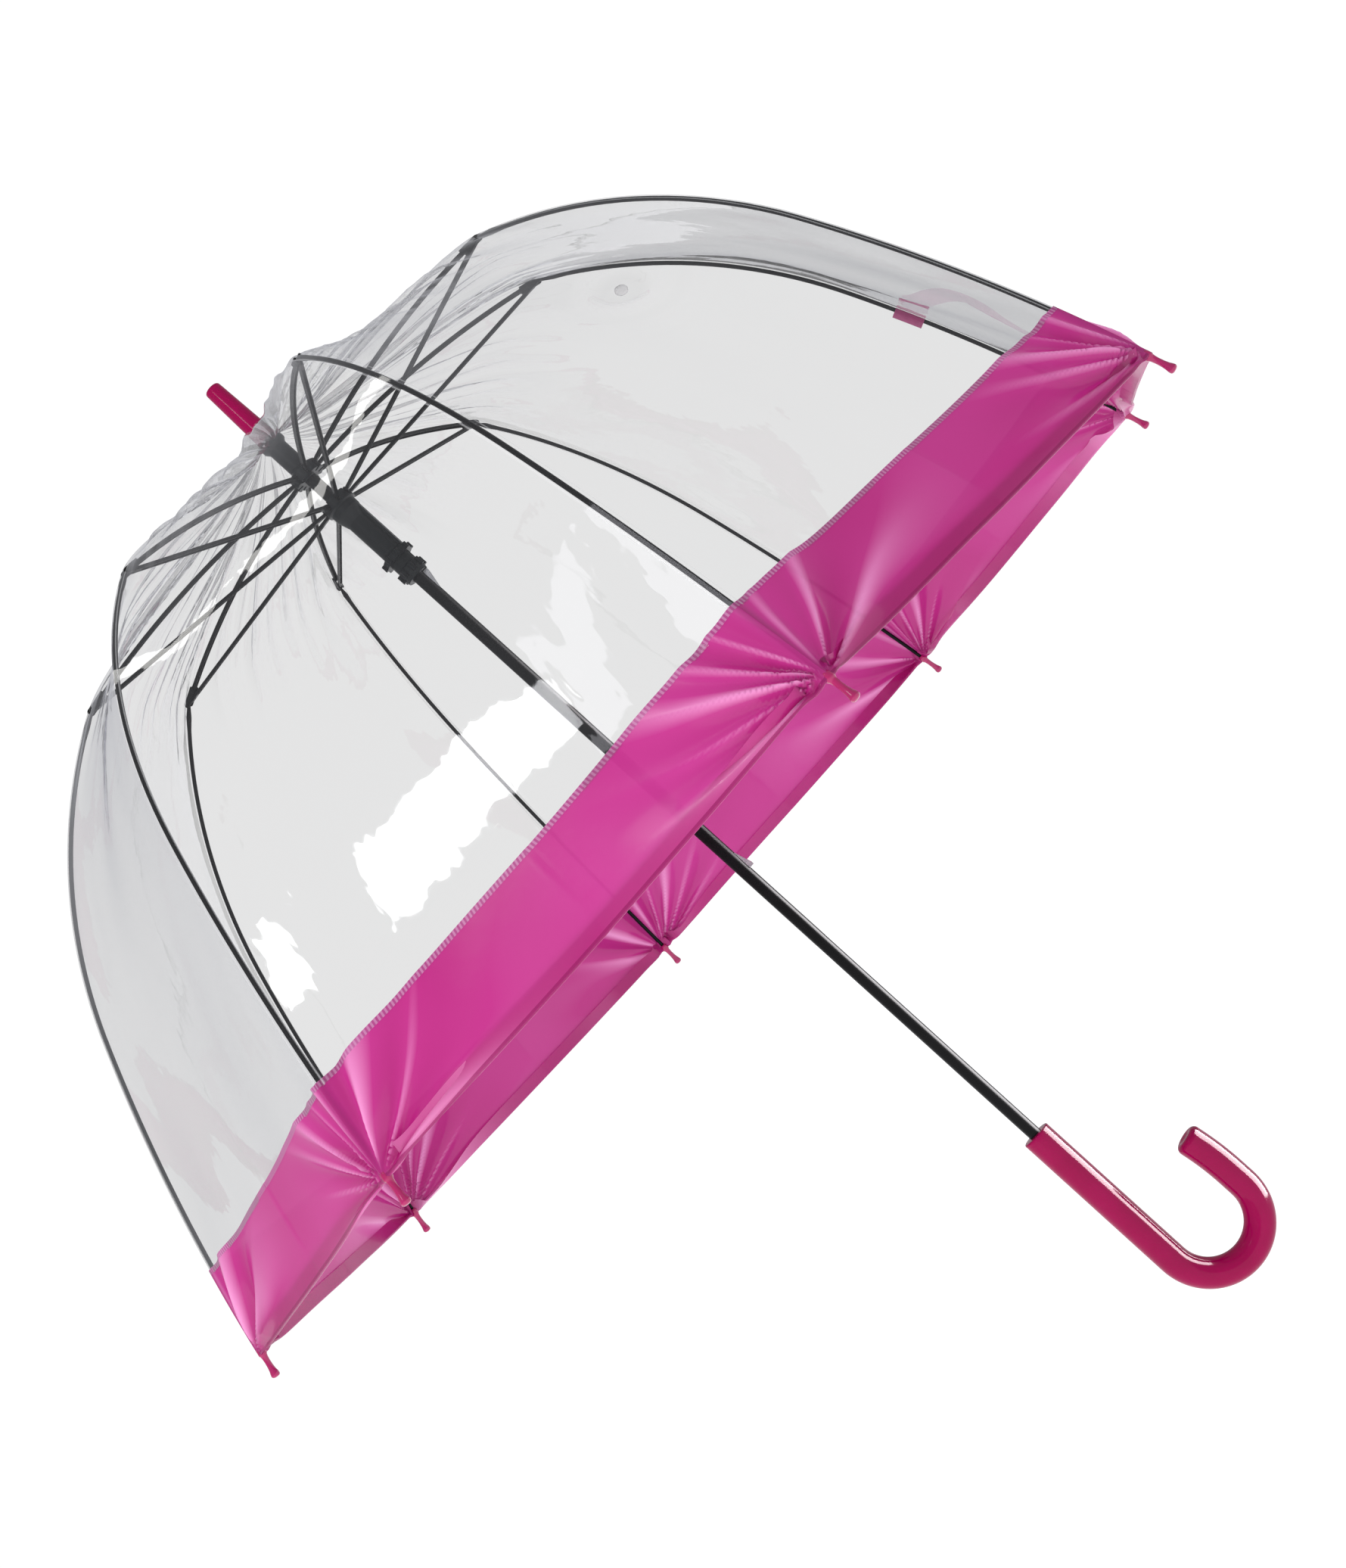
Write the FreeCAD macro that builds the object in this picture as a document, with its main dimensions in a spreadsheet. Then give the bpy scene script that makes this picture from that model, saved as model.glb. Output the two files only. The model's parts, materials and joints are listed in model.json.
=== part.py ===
import FreeCAD, Part
import math
import os
import Sketcher

# Clear dome umbrella, open. Millimetres, +Z up along the shaft towards the ferrule.
# The origin is on the shaft's axis at the middle of the straight grip, and the hook curls towards +X.

driving_sizes = {
    # canopy and ribs
    "rib_count": 8,
    "first_rib_angle": 13.0,
    "tip_radius": 445.0,
    "tip_height": 343.0,
    "middle_radius": 372.0,
    "middle_height": 555.0,
    "middle_lean": 24.0,
    "joint_radius": 222.0,
    "crown_height": 736.0,
    "hub_height": 706.0,
    "pivot_radius": 10.0,
    "rib_bow": 8.0,
    "rib_width": 3.2,
    "rib_depth": 2.6,
    "sheet_wall": 0.5,
    "rod_radius": 1.5,
    "rod_gap": 2.0,
    "knuckle_radius": 1.8,
    "crimp_radius": 1.6,
    "crimp_length": 11.0,
    "tongue_width": 1.2,
    "tongue_length": 9.0,
    "lug_radius": 2.1,
    "lug_width": 2.2,
    "lug_length": 6.0,
    "neck_lap": 2.0,
    "eye_radius": 0.75,
    "wire_radius": 0.6,
    "rivet_radius": 0.8,
    "rivet_hole": 0.86,
    "rivet_head": 1.5,
    "clip_length": 16.0,
    "clip_depth": 4.4,
    "clip_wall": 0.8,
    "clip_clearance": 10.0,
    "fork_length": 9.0,
    "fork_slot": 1.5,
    "stretcher_width": 3.0,
    "stretcher_depth": 2.4,
    "tip_length": 14.5,
    "tip_neck": 1.9,
    "tip_flare": 2.5,
    "tip_ball": 2.9,
    # film
    "film_gap": 3.0,
    "film_wall": 0.2,
    "crown_film_radius": 8.4,
    "crown_film_height": 772.0,
    "shoulder_radius": 110.0,
    "shoulder_height": 747.0,
    "band_height": 404.0,
    "band_lap": 5.0,
    # shaft, handle, ferrule
    "shaft_radius": 4.8,
    "shaft_bore": 4.1,
    "shaft_foot": 5.0,
    "shaft_head": 796.0,
    "handle_radius": 10.75,
    "handle_top": 60.0,
    "hook_height": -62.4,
    "hook_radius": 34.5,
    "hook_leg": 10.0,
    "hook_curl_radius": 200.0,
    "hook_curl_angle": 11.0,
    "handle_edge": 1.2,
    "handle_end_edge": 4.0,
    "ferrule_foot": 773.0,
    "ferrule_head": 828.0,
    "ferrule_foot_radius": 8.0,
    "ferrule_head_radius": 6.3,
    "ferrule_edge": 1.6,
    # crown notch and runner
    "notch_radius": 12.3,
    "notch_neck": 7.4,
    "notch_plate": 9.6,
    "slot_width": 2.8,
    "slot_floor": 7.5,
    "slot_clearance": 2.6,
    "runner_gap": 0.3,
    "sleeve_radius": 8.1,
    "sleeve_foot": 629.0,
    "flange_height": 649.0,
    "flange_radius": 11.6,
    "flange_half": 2.4,
    "ring_height": 635.0,
    "ring_radius": 9.6,
    "ring_half": 3.2,
    "lobe_radius": 1.7,
    "cone_height": 696.0,
    "cone_radius": 10.6,
    "keyway_depth": 8.5,
    "keyway_width": 3.4,
    "ridge_radius": 9.8,
    "ridge_width": 5.4,
    # spring catches
    "catch_width": 2.4,
    "catch_root": 1.0,
    "catch_reach": 8.0,
    "catch_length": 15.0,
    "catch_land": 2.0,
    "catch_clearance": 0.3,
    "top_catch_height": 613.2,
    "bottom_catch_height": 322.6,
    # closing strap
    "strap_height": 518.0,
    "strap_length": 96.0,
    "strap_width": 22.0,
    "strap_wall": 0.5,
    "strap_sleeve_radius": 2.6,
    "stud_radius": 4.0,
    "stud_depth": 1.6,
}

doc = FreeCAD.newDocument("dome_umbrella")
sheet = doc.addObject("Spreadsheet::Sheet", "sizes")
for row, (alias, value) in enumerate(driving_sizes.items(), start=1):
    sheet.set(f"A{row}", alias)
    sheet.set(f"B{row}", str(value))
    sheet.setAlias(f"B{row}", alias)
doc.recompute()

nodes = []
up = FreeCAD.Vector(0, 0, 1)
tangent = FreeCAD.Vector(0, 1, 0)
centre = FreeCAD.Vector(0, 0, 0)


# ---- sizes written as text, such as "hub_height - lug_radius"

def number(text):
    """Value of a sum of sheet aliases and plain numbers."""
    total, sign = 0.0, 1
    for word in text.split():
        if word in ("+", "-"):
            sign = 1 if word == "+" else -1
        else:
            total += sign * (driving_sizes[word] if word in driving_sizes else float(word))
    return total


def formula(text):
    """The same sum as an expression on the sheet."""
    return " ".join(f"sizes.{word}" if word in driving_sizes else word for word in text.split())


def bind(thing, **sizes):
    """Sets sizes: a sum as text is bound to the sheet, and a number that was worked out is set as it is."""
    for name, size in sizes.items():
        if isinstance(size, str):
            thing.setExpression(name, formula(size))
        else:
            setattr(thing, name, size)
    return thing


# ---- primitives and booleans

def turned_about_y(point, angle):
    """Placement at point (radius, height) in the XZ plane, local X turned up from +X by angle degrees."""
    return FreeCAD.Placement(FreeCAD.Vector(point[0], 0, point[1]), FreeCAD.Rotation(tangent, -angle))


def cylinder(name, radius, height, at=FreeCAD.Placement()):
    piece = doc.addObject("Part::Cylinder", name)
    piece.Placement = at
    return bind(piece, Radius=radius, Height=height)


def cross_pin(name, radius, width, point):
    """Cylinder along Y, centred on the XZ plane."""
    side = FreeCAD.Vector(point[0], number(width) / 2, point[1])
    return cylinder(name, radius, width, FreeCAD.Placement(side, FreeCAD.Rotation(FreeCAD.Vector(1, 0, 0), 90)))


def bar(name, length, width, depth, start, angle, rise=0.0, from_start=0.0):
    """Box along a line in the XZ plane, centred on it across its width and depth."""
    piece = doc.addObject("Part::Box", name)
    shift = FreeCAD.Vector(from_start, -number(width) / 2, rise - number(depth) / 2)
    piece.Placement = turned_about_y(start, angle).multiply(FreeCAD.Placement(shift, FreeCAD.Rotation()))
    return bind(piece, Length=length, Width=width, Height=depth)


def cut(name, base, tool):
    piece = doc.addObject("Part::Cut", name)
    piece.Base = base
    piece.Tool = tool
    return piece


def fuse(name, *shapes):
    piece = doc.addObject("Part::MultiFuse", name)
    piece.Shapes = list(shapes)
    return piece


def node(piece, label, placement=None):
    """Names a finished sub-part and puts it in its place."""
    piece.Label = label
    if placement is not None:
        piece.Placement = placement.multiply(piece.Placement)
    nodes.append(piece)
    return piece


def about_shaft(angle):
    return FreeCAD.Placement(centre, FreeCAD.Rotation(up, angle))


def rib_angle(index):
    return number("first_rib_angle") + index * 360.0 / number("rib_count")


# ---- sketched bodies

def sketch_in(body, label, role, offset=0.0):
    plane = [f for f in body.Origin.OriginFeatures if f.Role == role][0]
    sketch = body.newObject("Sketcher::SketchObject", label)
    sketch.AttachmentSupport = [(plane, "")]
    sketch.MapMode = "FlatFace"
    sketch.AttachmentOffset = FreeCAD.Placement(FreeCAD.Vector(0, 0, offset), FreeCAD.Rotation())
    return sketch


def outline(sketch, corners):
    """Closed outline of straight sides. Each corner is two sizes as text, and both are bound to the sheet."""
    points = [FreeCAD.Vector(number(x), number(y), 0) for x, y in corners]
    count = len(points)
    for i in range(count):
        sketch.addGeometry(Part.LineSegment(points[i], points[(i + 1) % count]), False)
    for i in range(count):
        sketch.addConstraint(Sketcher.Constraint("Coincident", i, 2, (i + 1) % count, 1))
    for i, (x, y) in enumerate(corners):
        for kind, text in (("DistanceX", x), ("DistanceY", y)):
            index = sketch.addConstraint(Sketcher.Constraint(kind, -1, 1, i, 1, number(text)))
            sketch.setExpression(f"Constraints[{index}]", formula(text))


def lathe(name, corners):
    """Body turned about the shaft's axis from an outline of (radius, height) corners."""
    body = doc.addObject("PartDesign::Body", name)
    sketch = sketch_in(body, name + "_profile", "XZ_Plane")
    outline(sketch, corners)
    turned = body.newObject("PartDesign::Revolution", name + "_turned")
    turned.Profile = sketch
    turned.ReferenceAxis = (sketch, ["V_Axis"])
    turned.Angle = 360.0
    doc.recompute()
    return body


def plate(name, corners, width):
    """Body of one thickness, centred on the XZ plane."""
    body = doc.addObject("PartDesign::Body", name)
    sketch = sketch_in(body, name + "_profile", "XZ_Plane")
    outline(sketch, corners)
    pad = body.newObject("PartDesign::Pad", name + "_pad")
    pad.Profile = sketch
    pad.Midplane = True
    bind(pad, Length=width)
    doc.recompute()
    return body


def round_rim(body, name, rim_centre, size):
    """Fillet on the edge whose middle is at a point."""
    base = body.Tip
    rims = [
        f"Edge{i + 1}" for i, edge in enumerate(base.Shape.Edges)
        if edge.BoundBox.Center.distanceToPoint(rim_centre) < 1.0
    ]
    rounding = body.newObject("PartDesign::Fillet", name)
    rounding.Base = (base, rims)
    bind(rounding, Radius=size)
    doc.recompute()


def ring_of(name, piece_maker, count, first_angle=0.0):
    """Pieces evenly spaced about the shaft, as one tool."""
    pieces = []
    for i in range(count):
        piece = piece_maker(f"{name}_{i + 1}")
        piece.Placement = about_shaft(first_angle + i * 360.0 / count).multiply(piece.Placement)
        pieces.append(piece)
    return fuse(name, *pieces)


# ---- the arcs that ribs and rods follow, in the rib's own XZ plane

def polar(length, angle):
    return (length * math.cos(math.radians(angle)), length * math.sin(math.radians(angle)))


def moved(point, length, angle):
    step = polar(length, angle)
    return (point[0] + step[0], point[1] + step[1])


class Arc:
    """Arc from start to end that bulges outwards. half_turn is half the angle it turns through, in degrees."""

    def __init__(self, start, end, half_turn):
        run, drop = end[0] - start[0], end[1] - start[1]
        self.start = start
        self.end = end
        self.chord = math.hypot(run, drop)
        self.chord_angle = math.degrees(math.atan2(drop, run))
        self.turn = 2 * half_turn
        self.radius = self.chord / (2 * math.sin(math.radians(half_turn)))
        self.start_angle = self.chord_angle + half_turn
        self.end_angle = self.chord_angle - half_turn
        self.centre = moved(start, self.radius, self.start_angle - 90)

    def at(self, share, outwards=0.0):
        """Point on the arc, or off it by outwards."""
        return moved(self.centre, self.radius + outwards, self.start_angle + 90 - share * self.turn)

    def placement(self, skipped=0.0):
        """Local X points from the arc's centre to its start, and local Z along +Y."""
        first = self.start_angle + 90 - skipped
        along = polar(1.0, first)
        onward = polar(1.0, first - 90)
        turn = FreeCAD.Rotation(
            FreeCAD.Vector(along[0], 0, along[1]), FreeCAD.Vector(onward[0], 0, onward[1]), tangent, "ZXY"
        )
        return FreeCAD.Placement(FreeCAD.Vector(self.centre[0], 0, self.centre[1]), turn)

    def angle_of(self, length):
        return math.degrees(length / self.radius)


crown_pivot = (number("pivot_radius"), number("crown_height"))
hub_pivot = (number("pivot_radius"), number("hub_height"))
joint = (number("joint_radius"), (crown_pivot[1] + hub_pivot[1]) / 2)
middle = (number("middle_radius"), number("middle_height"))
tip = (number("tip_radius"), number("tip_height"))
rib_chord = math.hypot(joint[0] - crown_pivot[0], joint[1] - crown_pivot[1])
stretcher_angle = math.degrees(math.atan2(joint[1] - hub_pivot[1], joint[0] - hub_pivot[0]))
rib_arc = Arc(crown_pivot, joint, 2 * math.degrees(math.atan(2 * number("rib_bow") / rib_chord)))
lean_of_middle = number("middle_lean") - 90
upper_chord_angle = math.degrees(math.atan2(middle[1] - joint[1], middle[0] - joint[0]))
lower_chord_angle = math.degrees(math.atan2(tip[1] - middle[1], tip[0] - middle[0]))
upper_arc = Arc(joint, middle, upper_chord_angle - lean_of_middle)
lower_arc = Arc(middle, tip, lean_of_middle - lower_chord_angle)


# ---- one rib and what hangs on it

def bent_bar(name, arc, skipped, turn, width, depth, rise="0"):
    """Rectangular bar that follows an arc: a sector between two cylinders across it."""
    half = number(width) / 2
    outer = doc.addObject("Part::Cylinder", name + "_outer")
    inner = doc.addObject("Part::Cylinder", name + "_inner")
    place = arc.placement(skipped).multiply(FreeCAD.Placement(FreeCAD.Vector(0, 0, -half), FreeCAD.Rotation()))
    for sector, side in ((outer, "+"), (inner, "-")):
        sector.Placement = place
        sector.Angle = turn
        bind(sector, Height=width)
        sector.setExpression("Radius", f"{arc.radius} + {formula(rise)} {side} ({formula(depth)}) / 2")
    return cut(name, outer, inner)


def round_rod(name, arc, from_start, from_end):
    rod = doc.addObject("Part::Torus", name)
    rod.Placement = arc.placement(arc.angle_of(from_start))
    rod.Radius1 = arc.radius
    rod.Angle3 = arc.turn - arc.angle_of(from_start + from_end)
    return bind(rod, Radius2="rod_radius")


def rib_channel(index):
    """Pressed channel from the crown to the joint, open below, with a lug on the crown's wire."""
    name = f"rib_channel_{index + 1}"
    skipped = rib_arc.angle_of(number("lug_length"))
    turn = rib_arc.turn - skipped - rib_arc.angle_of(number("clip_clearance"))
    solid = bent_bar(name + "_bar", rib_arc, skipped, turn, "rib_width", "rib_depth")
    hollow = bent_bar(
        name + "_hollow", rib_arc, skipped - 0.1, turn + 0.2,
        "rib_width - sheet_wall - sheet_wall", "rib_depth", "0 - sheet_wall",
    )
    channel = cut(name + "_channel", solid, hollow)
    neck = bar(
        name + "_neck", "lug_length + neck_lap", "lug_width", "rib_depth", crown_pivot, rib_arc.start_angle
    )
    lug = cross_pin(name + "_lug", "lug_radius", "lug_width", crown_pivot)
    body = fuse(name + "_body", channel, neck, lug)
    eye = cross_pin(name + "_eye", "eye_radius", "rib_width + 1", crown_pivot)
    return node(cut(name, body, eye), name, about_shaft(rib_angle(index)))


def joint_clip(index):
    """Two cheeks over the end of the rib channel, a bridge, and the rivet that the rod and stretcher turn on."""
    name = f"joint_clip_{index + 1}"
    back = rib_arc.end_angle + 180
    cheeks = bar(name + "_cheeks", "clip_length", "rib_width + clip_wall + clip_wall", "clip_depth", joint, back)
    space = bar(
        name + "_space", "clip_length + clip_length", "rib_width", "clip_depth + 2", joint, back,
        from_start=-number("clip_length") / 2,
    )
    nose = cross_pin(name + "_nose", "lug_radius", "rib_width + clip_wall + clip_wall", joint)
    forked = cut(name + "_forked", fuse(name + "_outside", cheeks, nose), space)
    bridge = bar(
        name + "_bridge", "clip_length - clip_clearance", "rib_width", "sheet_wall", joint, back,
        rise=-(number("rib_depth") + number("sheet_wall")) / 2, from_start=number("clip_clearance"),
    )
    rivet = cross_pin(name + "_rivet", "rivet_radius", "rib_width + clip_wall + clip_wall + 0.8", joint)
    heads = []
    for side in (1, -1):
        middle_of_head = side * (number("rib_width") / 2 + number("clip_wall") + 0.2)
        head = cross_pin(f"{name}_head_{1 if side > 0 else 2}", "rivet_head", "0.4", joint)
        head.Placement.Base.y += middle_of_head
        heads.append(head)
    return node(fuse(name, forked, bridge, rivet, *heads), name, about_shaft(rib_angle(index)))


def rod_upper(index):
    """Glass-fibre rod from the joint to half way down, with a crimped tongue on the joint's rivet."""
    name = f"rod_upper_{index + 1}"
    start = number("tongue_length") - 2
    rod = round_rod(name + "_rod", upper_arc, start, 0.0)
    crimp_place = turned_about_y(moved(joint, start - 0.5, upper_arc.start_angle), upper_arc.start_angle)
    crimp_place = crimp_place.multiply(FreeCAD.Placement(centre, FreeCAD.Rotation(tangent, 90)))
    crimp = cylinder(name + "_crimp", "crimp_radius", "crimp_length", crimp_place)
    tongue = bar(
        name + "_tongue", "tongue_length", "tongue_width", "rib_depth", joint, upper_arc.start_angle
    )
    end = cross_pin(name + "_end", "rib_depth - 1.0", "tongue_width", joint)
    knuckle = cross_pin(name + "_knuckle", "knuckle_radius", "knuckle_radius + knuckle_radius", middle)
    body = fuse(name + "_body", rod, crimp, tongue, end, knuckle)
    hole = cross_pin(name + "_hole", "rivet_hole", "rib_width", joint)
    return node(cut(name, body, hole), name, about_shaft(rib_angle(index)))


def rod_lower(index):
    """The rod's lower half, down to the rib tip."""
    name = f"rod_lower_{index + 1}"
    return node(round_rod(name, lower_arc, number("rod_gap"), 0.0), name, about_shaft(rib_angle(index)))


def rib_tip(index):
    """Moulded tip on the end of the rod: a slim cone that ends in a ball."""
    name = f"rib_tip_{index + 1}"
    along = lower_arc.end_angle
    place = turned_about_y(tip, along).multiply(FreeCAD.Placement(centre, FreeCAD.Rotation(tangent, 90)))
    cone = doc.addObject("Part::Cone", name + "_cone")
    cone.Placement = place
    bind(cone, Radius1="tip_neck", Radius2="tip_flare", Height="tip_length")
    ball = doc.addObject("Part::Sphere", name + "_ball")
    ball_centre = moved(tip, number("tip_length"), along)
    ball.Placement = FreeCAD.Placement(FreeCAD.Vector(ball_centre[0], 0, ball_centre[1]), FreeCAD.Rotation())
    bind(ball, Radius="tip_ball")
    return node(fuse(name, cone, ball), name, about_shaft(rib_angle(index)))


def stretcher(index):
    """Channel from the runner to the joint: a lug on the runner's wire and a fork round the rod's tongue."""
    name = f"stretcher_{index + 1}"
    length = rib_chord
    bar_start = number("lug_length")
    bar_length = length - bar_start - number("fork_length") + 1
    outside = bar(
        name + "_outside", bar_length, "stretcher_width", "stretcher_depth", hub_pivot, stretcher_angle,
        from_start=bar_start,
    )
    inside = bar(
        name + "_inside", bar_length - 2 * number("lug_length"), "stretcher_width - sheet_wall - sheet_wall",
        "stretcher_depth", hub_pivot, stretcher_angle, rise=-number("sheet_wall"),
        from_start=bar_start + number("lug_length"),
    )
    channel = cut(name + "_channel", outside, inside)
    lug = cross_pin(name + "_lug", "lug_radius", "lug_width", hub_pivot)
    neck = bar(
        name + "_neck", "lug_length + neck_lap", "lug_width", "stretcher_depth", hub_pivot, stretcher_angle
    )
    fork = bar(
        name + "_fork", "fork_length", "stretcher_width", "rib_depth", joint, stretcher_angle + 180
    )
    fork_end = cross_pin(name + "_fork_end", "rib_depth - 1.0", "stretcher_width", joint)
    body = fuse(name + "_body", channel, lug, neck, fork, fork_end)
    slot = bar(
        name + "_slot", "fork_length + 2", "fork_slot", "rib_depth + 3", joint, stretcher_angle + 180,
        from_start=-4.0,
    )
    eye = cross_pin(name + "_eye", "eye_radius", "rib_width", hub_pivot)
    hole = cross_pin(name + "_hole", "rivet_hole", "rib_width + 1", joint)
    tools = fuse(name + "_tools", slot, eye, hole)
    return node(cut(name, body, tools), name, about_shaft(rib_angle(index)))


# ---- film: each gore is taut between two ribs, so it is straight across

def film_points(extra):
    """(radius, height) points of the film over a rib: crown, shoulder, joint, upper arc, middle, lower arc."""
    gap = number("film_gap") + extra
    crown = (number("crown_film_radius"), number("crown_film_height") + extra)
    shoulder = (number("shoulder_radius"), number("shoulder_height") + extra)
    knee = moved(joint, gap, 66)
    return crown, shoulder, knee, upper_arc.at(0.5, gap), upper_arc.at(1.0, gap)


def share_at_height(height, outwards):
    """Where the lower arc, moved outwards, passes a height."""
    reach = (height - lower_arc.centre[1]) / (lower_arc.radius + outwards)
    return (lower_arc.start_angle + 90 - math.degrees(math.asin(reach))) / lower_arc.turn


def flat_across(point):
    """A rib-plane point carried to the gore's middle, where a straight chord is nearer the shaft."""
    half = math.pi / number("rib_count")
    return FreeCAD.Vector(point[0] * math.cos(half), 0, point[1])


def gore_section():
    """Closed section of the clear film in the gore's middle plane."""
    edges = []
    ends = []
    for extra in (0.0, number("film_wall")):
        gap = number("film_gap") + extra
        last = share_at_height(number("band_height"), gap)
        crown, shoulder, knee, upper_mid, mid = [flat_across(p) for p in film_points(extra)]
        lower_mid, foot = [flat_across(lower_arc.at(share, gap)) for share in (last / 2, last)]
        edges += [
            Part.LineSegment(crown, shoulder),
            Part.LineSegment(shoulder, knee),
            Part.Arc(knee, upper_mid, mid),
            Part.Arc(mid, lower_mid, foot),
        ]
        ends.append((crown, foot))
    edges += [Part.LineSegment(ends[0][0], ends[1][0]), Part.LineSegment(ends[0][1], ends[1][1])]
    return edges


def band_section():
    """Closed section of the coloured band, which laps over the clear film's lower edge."""
    edges = []
    ends = []
    for extra in (0.05, 0.05 + number("film_wall")):
        gap = number("film_gap") + number("film_wall") + extra
        first = share_at_height(number("band_height + band_lap"), gap)
        top, mid, foot = [
            flat_across(lower_arc.at(share, gap)) for share in (first, (first + 1) / 2, 1.0)
        ]
        edges.append(Part.Arc(top, mid, foot))
        ends.append((top, foot))
    edges += [Part.LineSegment(ends[0][0], ends[1][0]), Part.LineSegment(ends[0][1], ends[1][1])]
    return edges


def film_ring(label, section):
    """The same panel in every gore, each a solid of its own, cut to its wedge between two ribs."""
    panels = []
    reach = number("tip_radius") + 20
    wedge = 360.0 / number("rib_count")
    wire = Part.Wire(Part.__sortEdges__([edge.toShape() for edge in section]))
    for index in range(int(number("rib_count"))):
        name = f"{label}_{index + 1}"
        face = doc.addObject("Part::Feature", name + "_section")
        face.Shape = Part.Face(wire)
        slab = doc.addObject("Part::Extrusion", name + "_slab")
        slab.Base = face
        slab.DirMode = "Custom"
        slab.Dir = tangent
        slab.Symmetric = True
        slab.Solid = True
        bind(slab, LengthFwd="tip_radius + 20")
        sector = doc.addObject("Part::Cylinder", name + "_sector")
        sector.Height = number("ferrule_head")
        sector.Radius = reach
        sector.setExpression("Angle", "360 / sizes.rib_count")
        sector.Placement = about_shaft(-wedge / 2)
        panel = doc.addObject("Part::Common", name)
        panel.Base = slab
        panel.Tool = sector
        panel.Placement = about_shaft(rib_angle(index) + wedge / 2)
        panels.append(panel)
    ring = doc.addObject("Part::Compound", label)
    ring.Links = panels
    return node(ring, label)


# ---- shaft, handle and ferrule

def shaft_tube():
    """Steel tube with a slot for each spring catch."""
    length = "shaft_head - shaft_foot"
    foot = FreeCAD.Placement(FreeCAD.Vector(0, 0, number("shaft_foot")), FreeCAD.Rotation())
    tube = cut(
        "shaft_wall", cylinder("shaft_outside", "shaft_radius", length, foot),
        cylinder("shaft_inside", "shaft_bore", length, foot),
    )
    slots = []
    for name in ("top_catch", "bottom_catch"):
        slot = bar(
            f"shaft_slot_for_{name}", "shaft_radius + 1", "catch_width + catch_clearance + catch_clearance",
            "catch_length + 1", (0.0, number(f"{name}_height") + number("catch_length") / 2), 0,
        )
        slots.append(slot)
    slotted = cut("shaft_tube", tube, fuse("shaft_slots", *slots))
    return node(slotted, "shaft_tube", about_shaft(catch_angle))


def handle():
    """Crook handle swept along a straight grip, a half-circle hook and a short leg that leans back in."""
    body = doc.addObject("PartDesign::Body", "handle_body")
    path = sketch_in(body, "handle_path", "XZ_Plane")
    top, hook, radius = number("handle_top"), number("hook_height"), number("hook_radius")
    leg_top = hook + number("hook_leg")
    curl, curl_angle = number("hook_curl_radius"), number("hook_curl_angle")
    path.addGeometry(Part.LineSegment(FreeCAD.Vector(0, top, 0), FreeCAD.Vector(0, hook, 0)), False)
    bend = Part.Circle(FreeCAD.Vector(radius, hook, 0), up, radius)
    path.addGeometry(Part.ArcOfCircle(bend, math.pi, 2 * math.pi), False)
    path.addGeometry(
        Part.LineSegment(FreeCAD.Vector(2 * radius, hook, 0), FreeCAD.Vector(2 * radius, leg_top, 0)), False
    )
    lean = Part.Circle(FreeCAD.Vector(2 * radius - curl, leg_top, 0), up, curl)
    path.addGeometry(Part.ArcOfCircle(lean, 0, math.radians(curl_angle)), False)
    section = sketch_in(body, "handle_section", "XY_Plane", top)
    section.addGeometry(Part.Circle(centre, up, number("handle_radius")), False)
    section.addConstraint(Sketcher.Constraint("Coincident", 0, 3, -1, 1))
    size = section.addConstraint(Sketcher.Constraint("Radius", 0, number("handle_radius")))
    section.setExpression(f"Constraints[{size}]", formula("handle_radius"))
    sweep = body.newObject("PartDesign::AdditivePipe", "handle_sweep")
    sweep.Profile = section
    sweep.Spine = path
    doc.recompute()
    end = moved((2 * radius - curl, leg_top), curl, curl_angle)
    round_rim(body, "handle_top_round", FreeCAD.Vector(0, 0, top), "handle_edge")
    round_rim(body, "handle_end_round", FreeCAD.Vector(end[0], 0, end[1]), "handle_end_edge")
    socket_place = FreeCAD.Placement(FreeCAD.Vector(0, 0, number("shaft_foot")), FreeCAD.Rotation())
    socket = cylinder("handle_socket", "shaft_radius", "handle_top - shaft_foot + 1", socket_place)
    return node(cut("handle", body, socket), "handle")


def ferrule():
    """Tapered plastic cap over the end of the shaft, with a rounded flat end."""
    body = lathe("ferrule_body", [
        ("shaft_radius", "ferrule_foot"),
        ("ferrule_foot_radius", "ferrule_foot"),
        ("ferrule_head_radius", "ferrule_head"),
        ("0", "ferrule_head"),
        ("0", "shaft_head"),
        ("shaft_radius", "shaft_head"),
    ])
    round_rim(body, "ferrule_round", FreeCAD.Vector(0, 0, number("ferrule_head")), "ferrule_edge")
    return node(body, "ferrule")


# ---- crown notch, runner, and the wires that the ribs and stretchers hang on

def slots_for(name, foot, depth):
    """Slots for the lugs, one for each rib, from the slot's floor outwards."""
    def slot(label):
        start = (number("slot_floor"), number(foot) + number(depth) / 2)
        return bar(label, "notch_radius", "slot_width", depth, start, 0)
    return ring_of(name, slot, int(number("rib_count")), number("first_rib_angle"))


def pivot_wire(name, height):
    wire = doc.addObject("Part::Torus", name)
    wire.Placement = FreeCAD.Placement(FreeCAD.Vector(0, 0, number(height)), FreeCAD.Rotation())
    return bind(wire, Radius1="pivot_radius", Radius2="wire_radius")


def lobes(name, radius, height, half):
    """Round lobes standing on a flange, one for each rib."""
    def lobe(label):
        foot = FreeCAD.Vector(number(radius), 0, number(height) - number(half))
        return cylinder(label, "lobe_radius", f"{half} + {half}", FreeCAD.Placement(foot, FreeCAD.Rotation()))
    return ring_of(name, lobe, int(number("rib_count")), number("first_rib_angle"))


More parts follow.
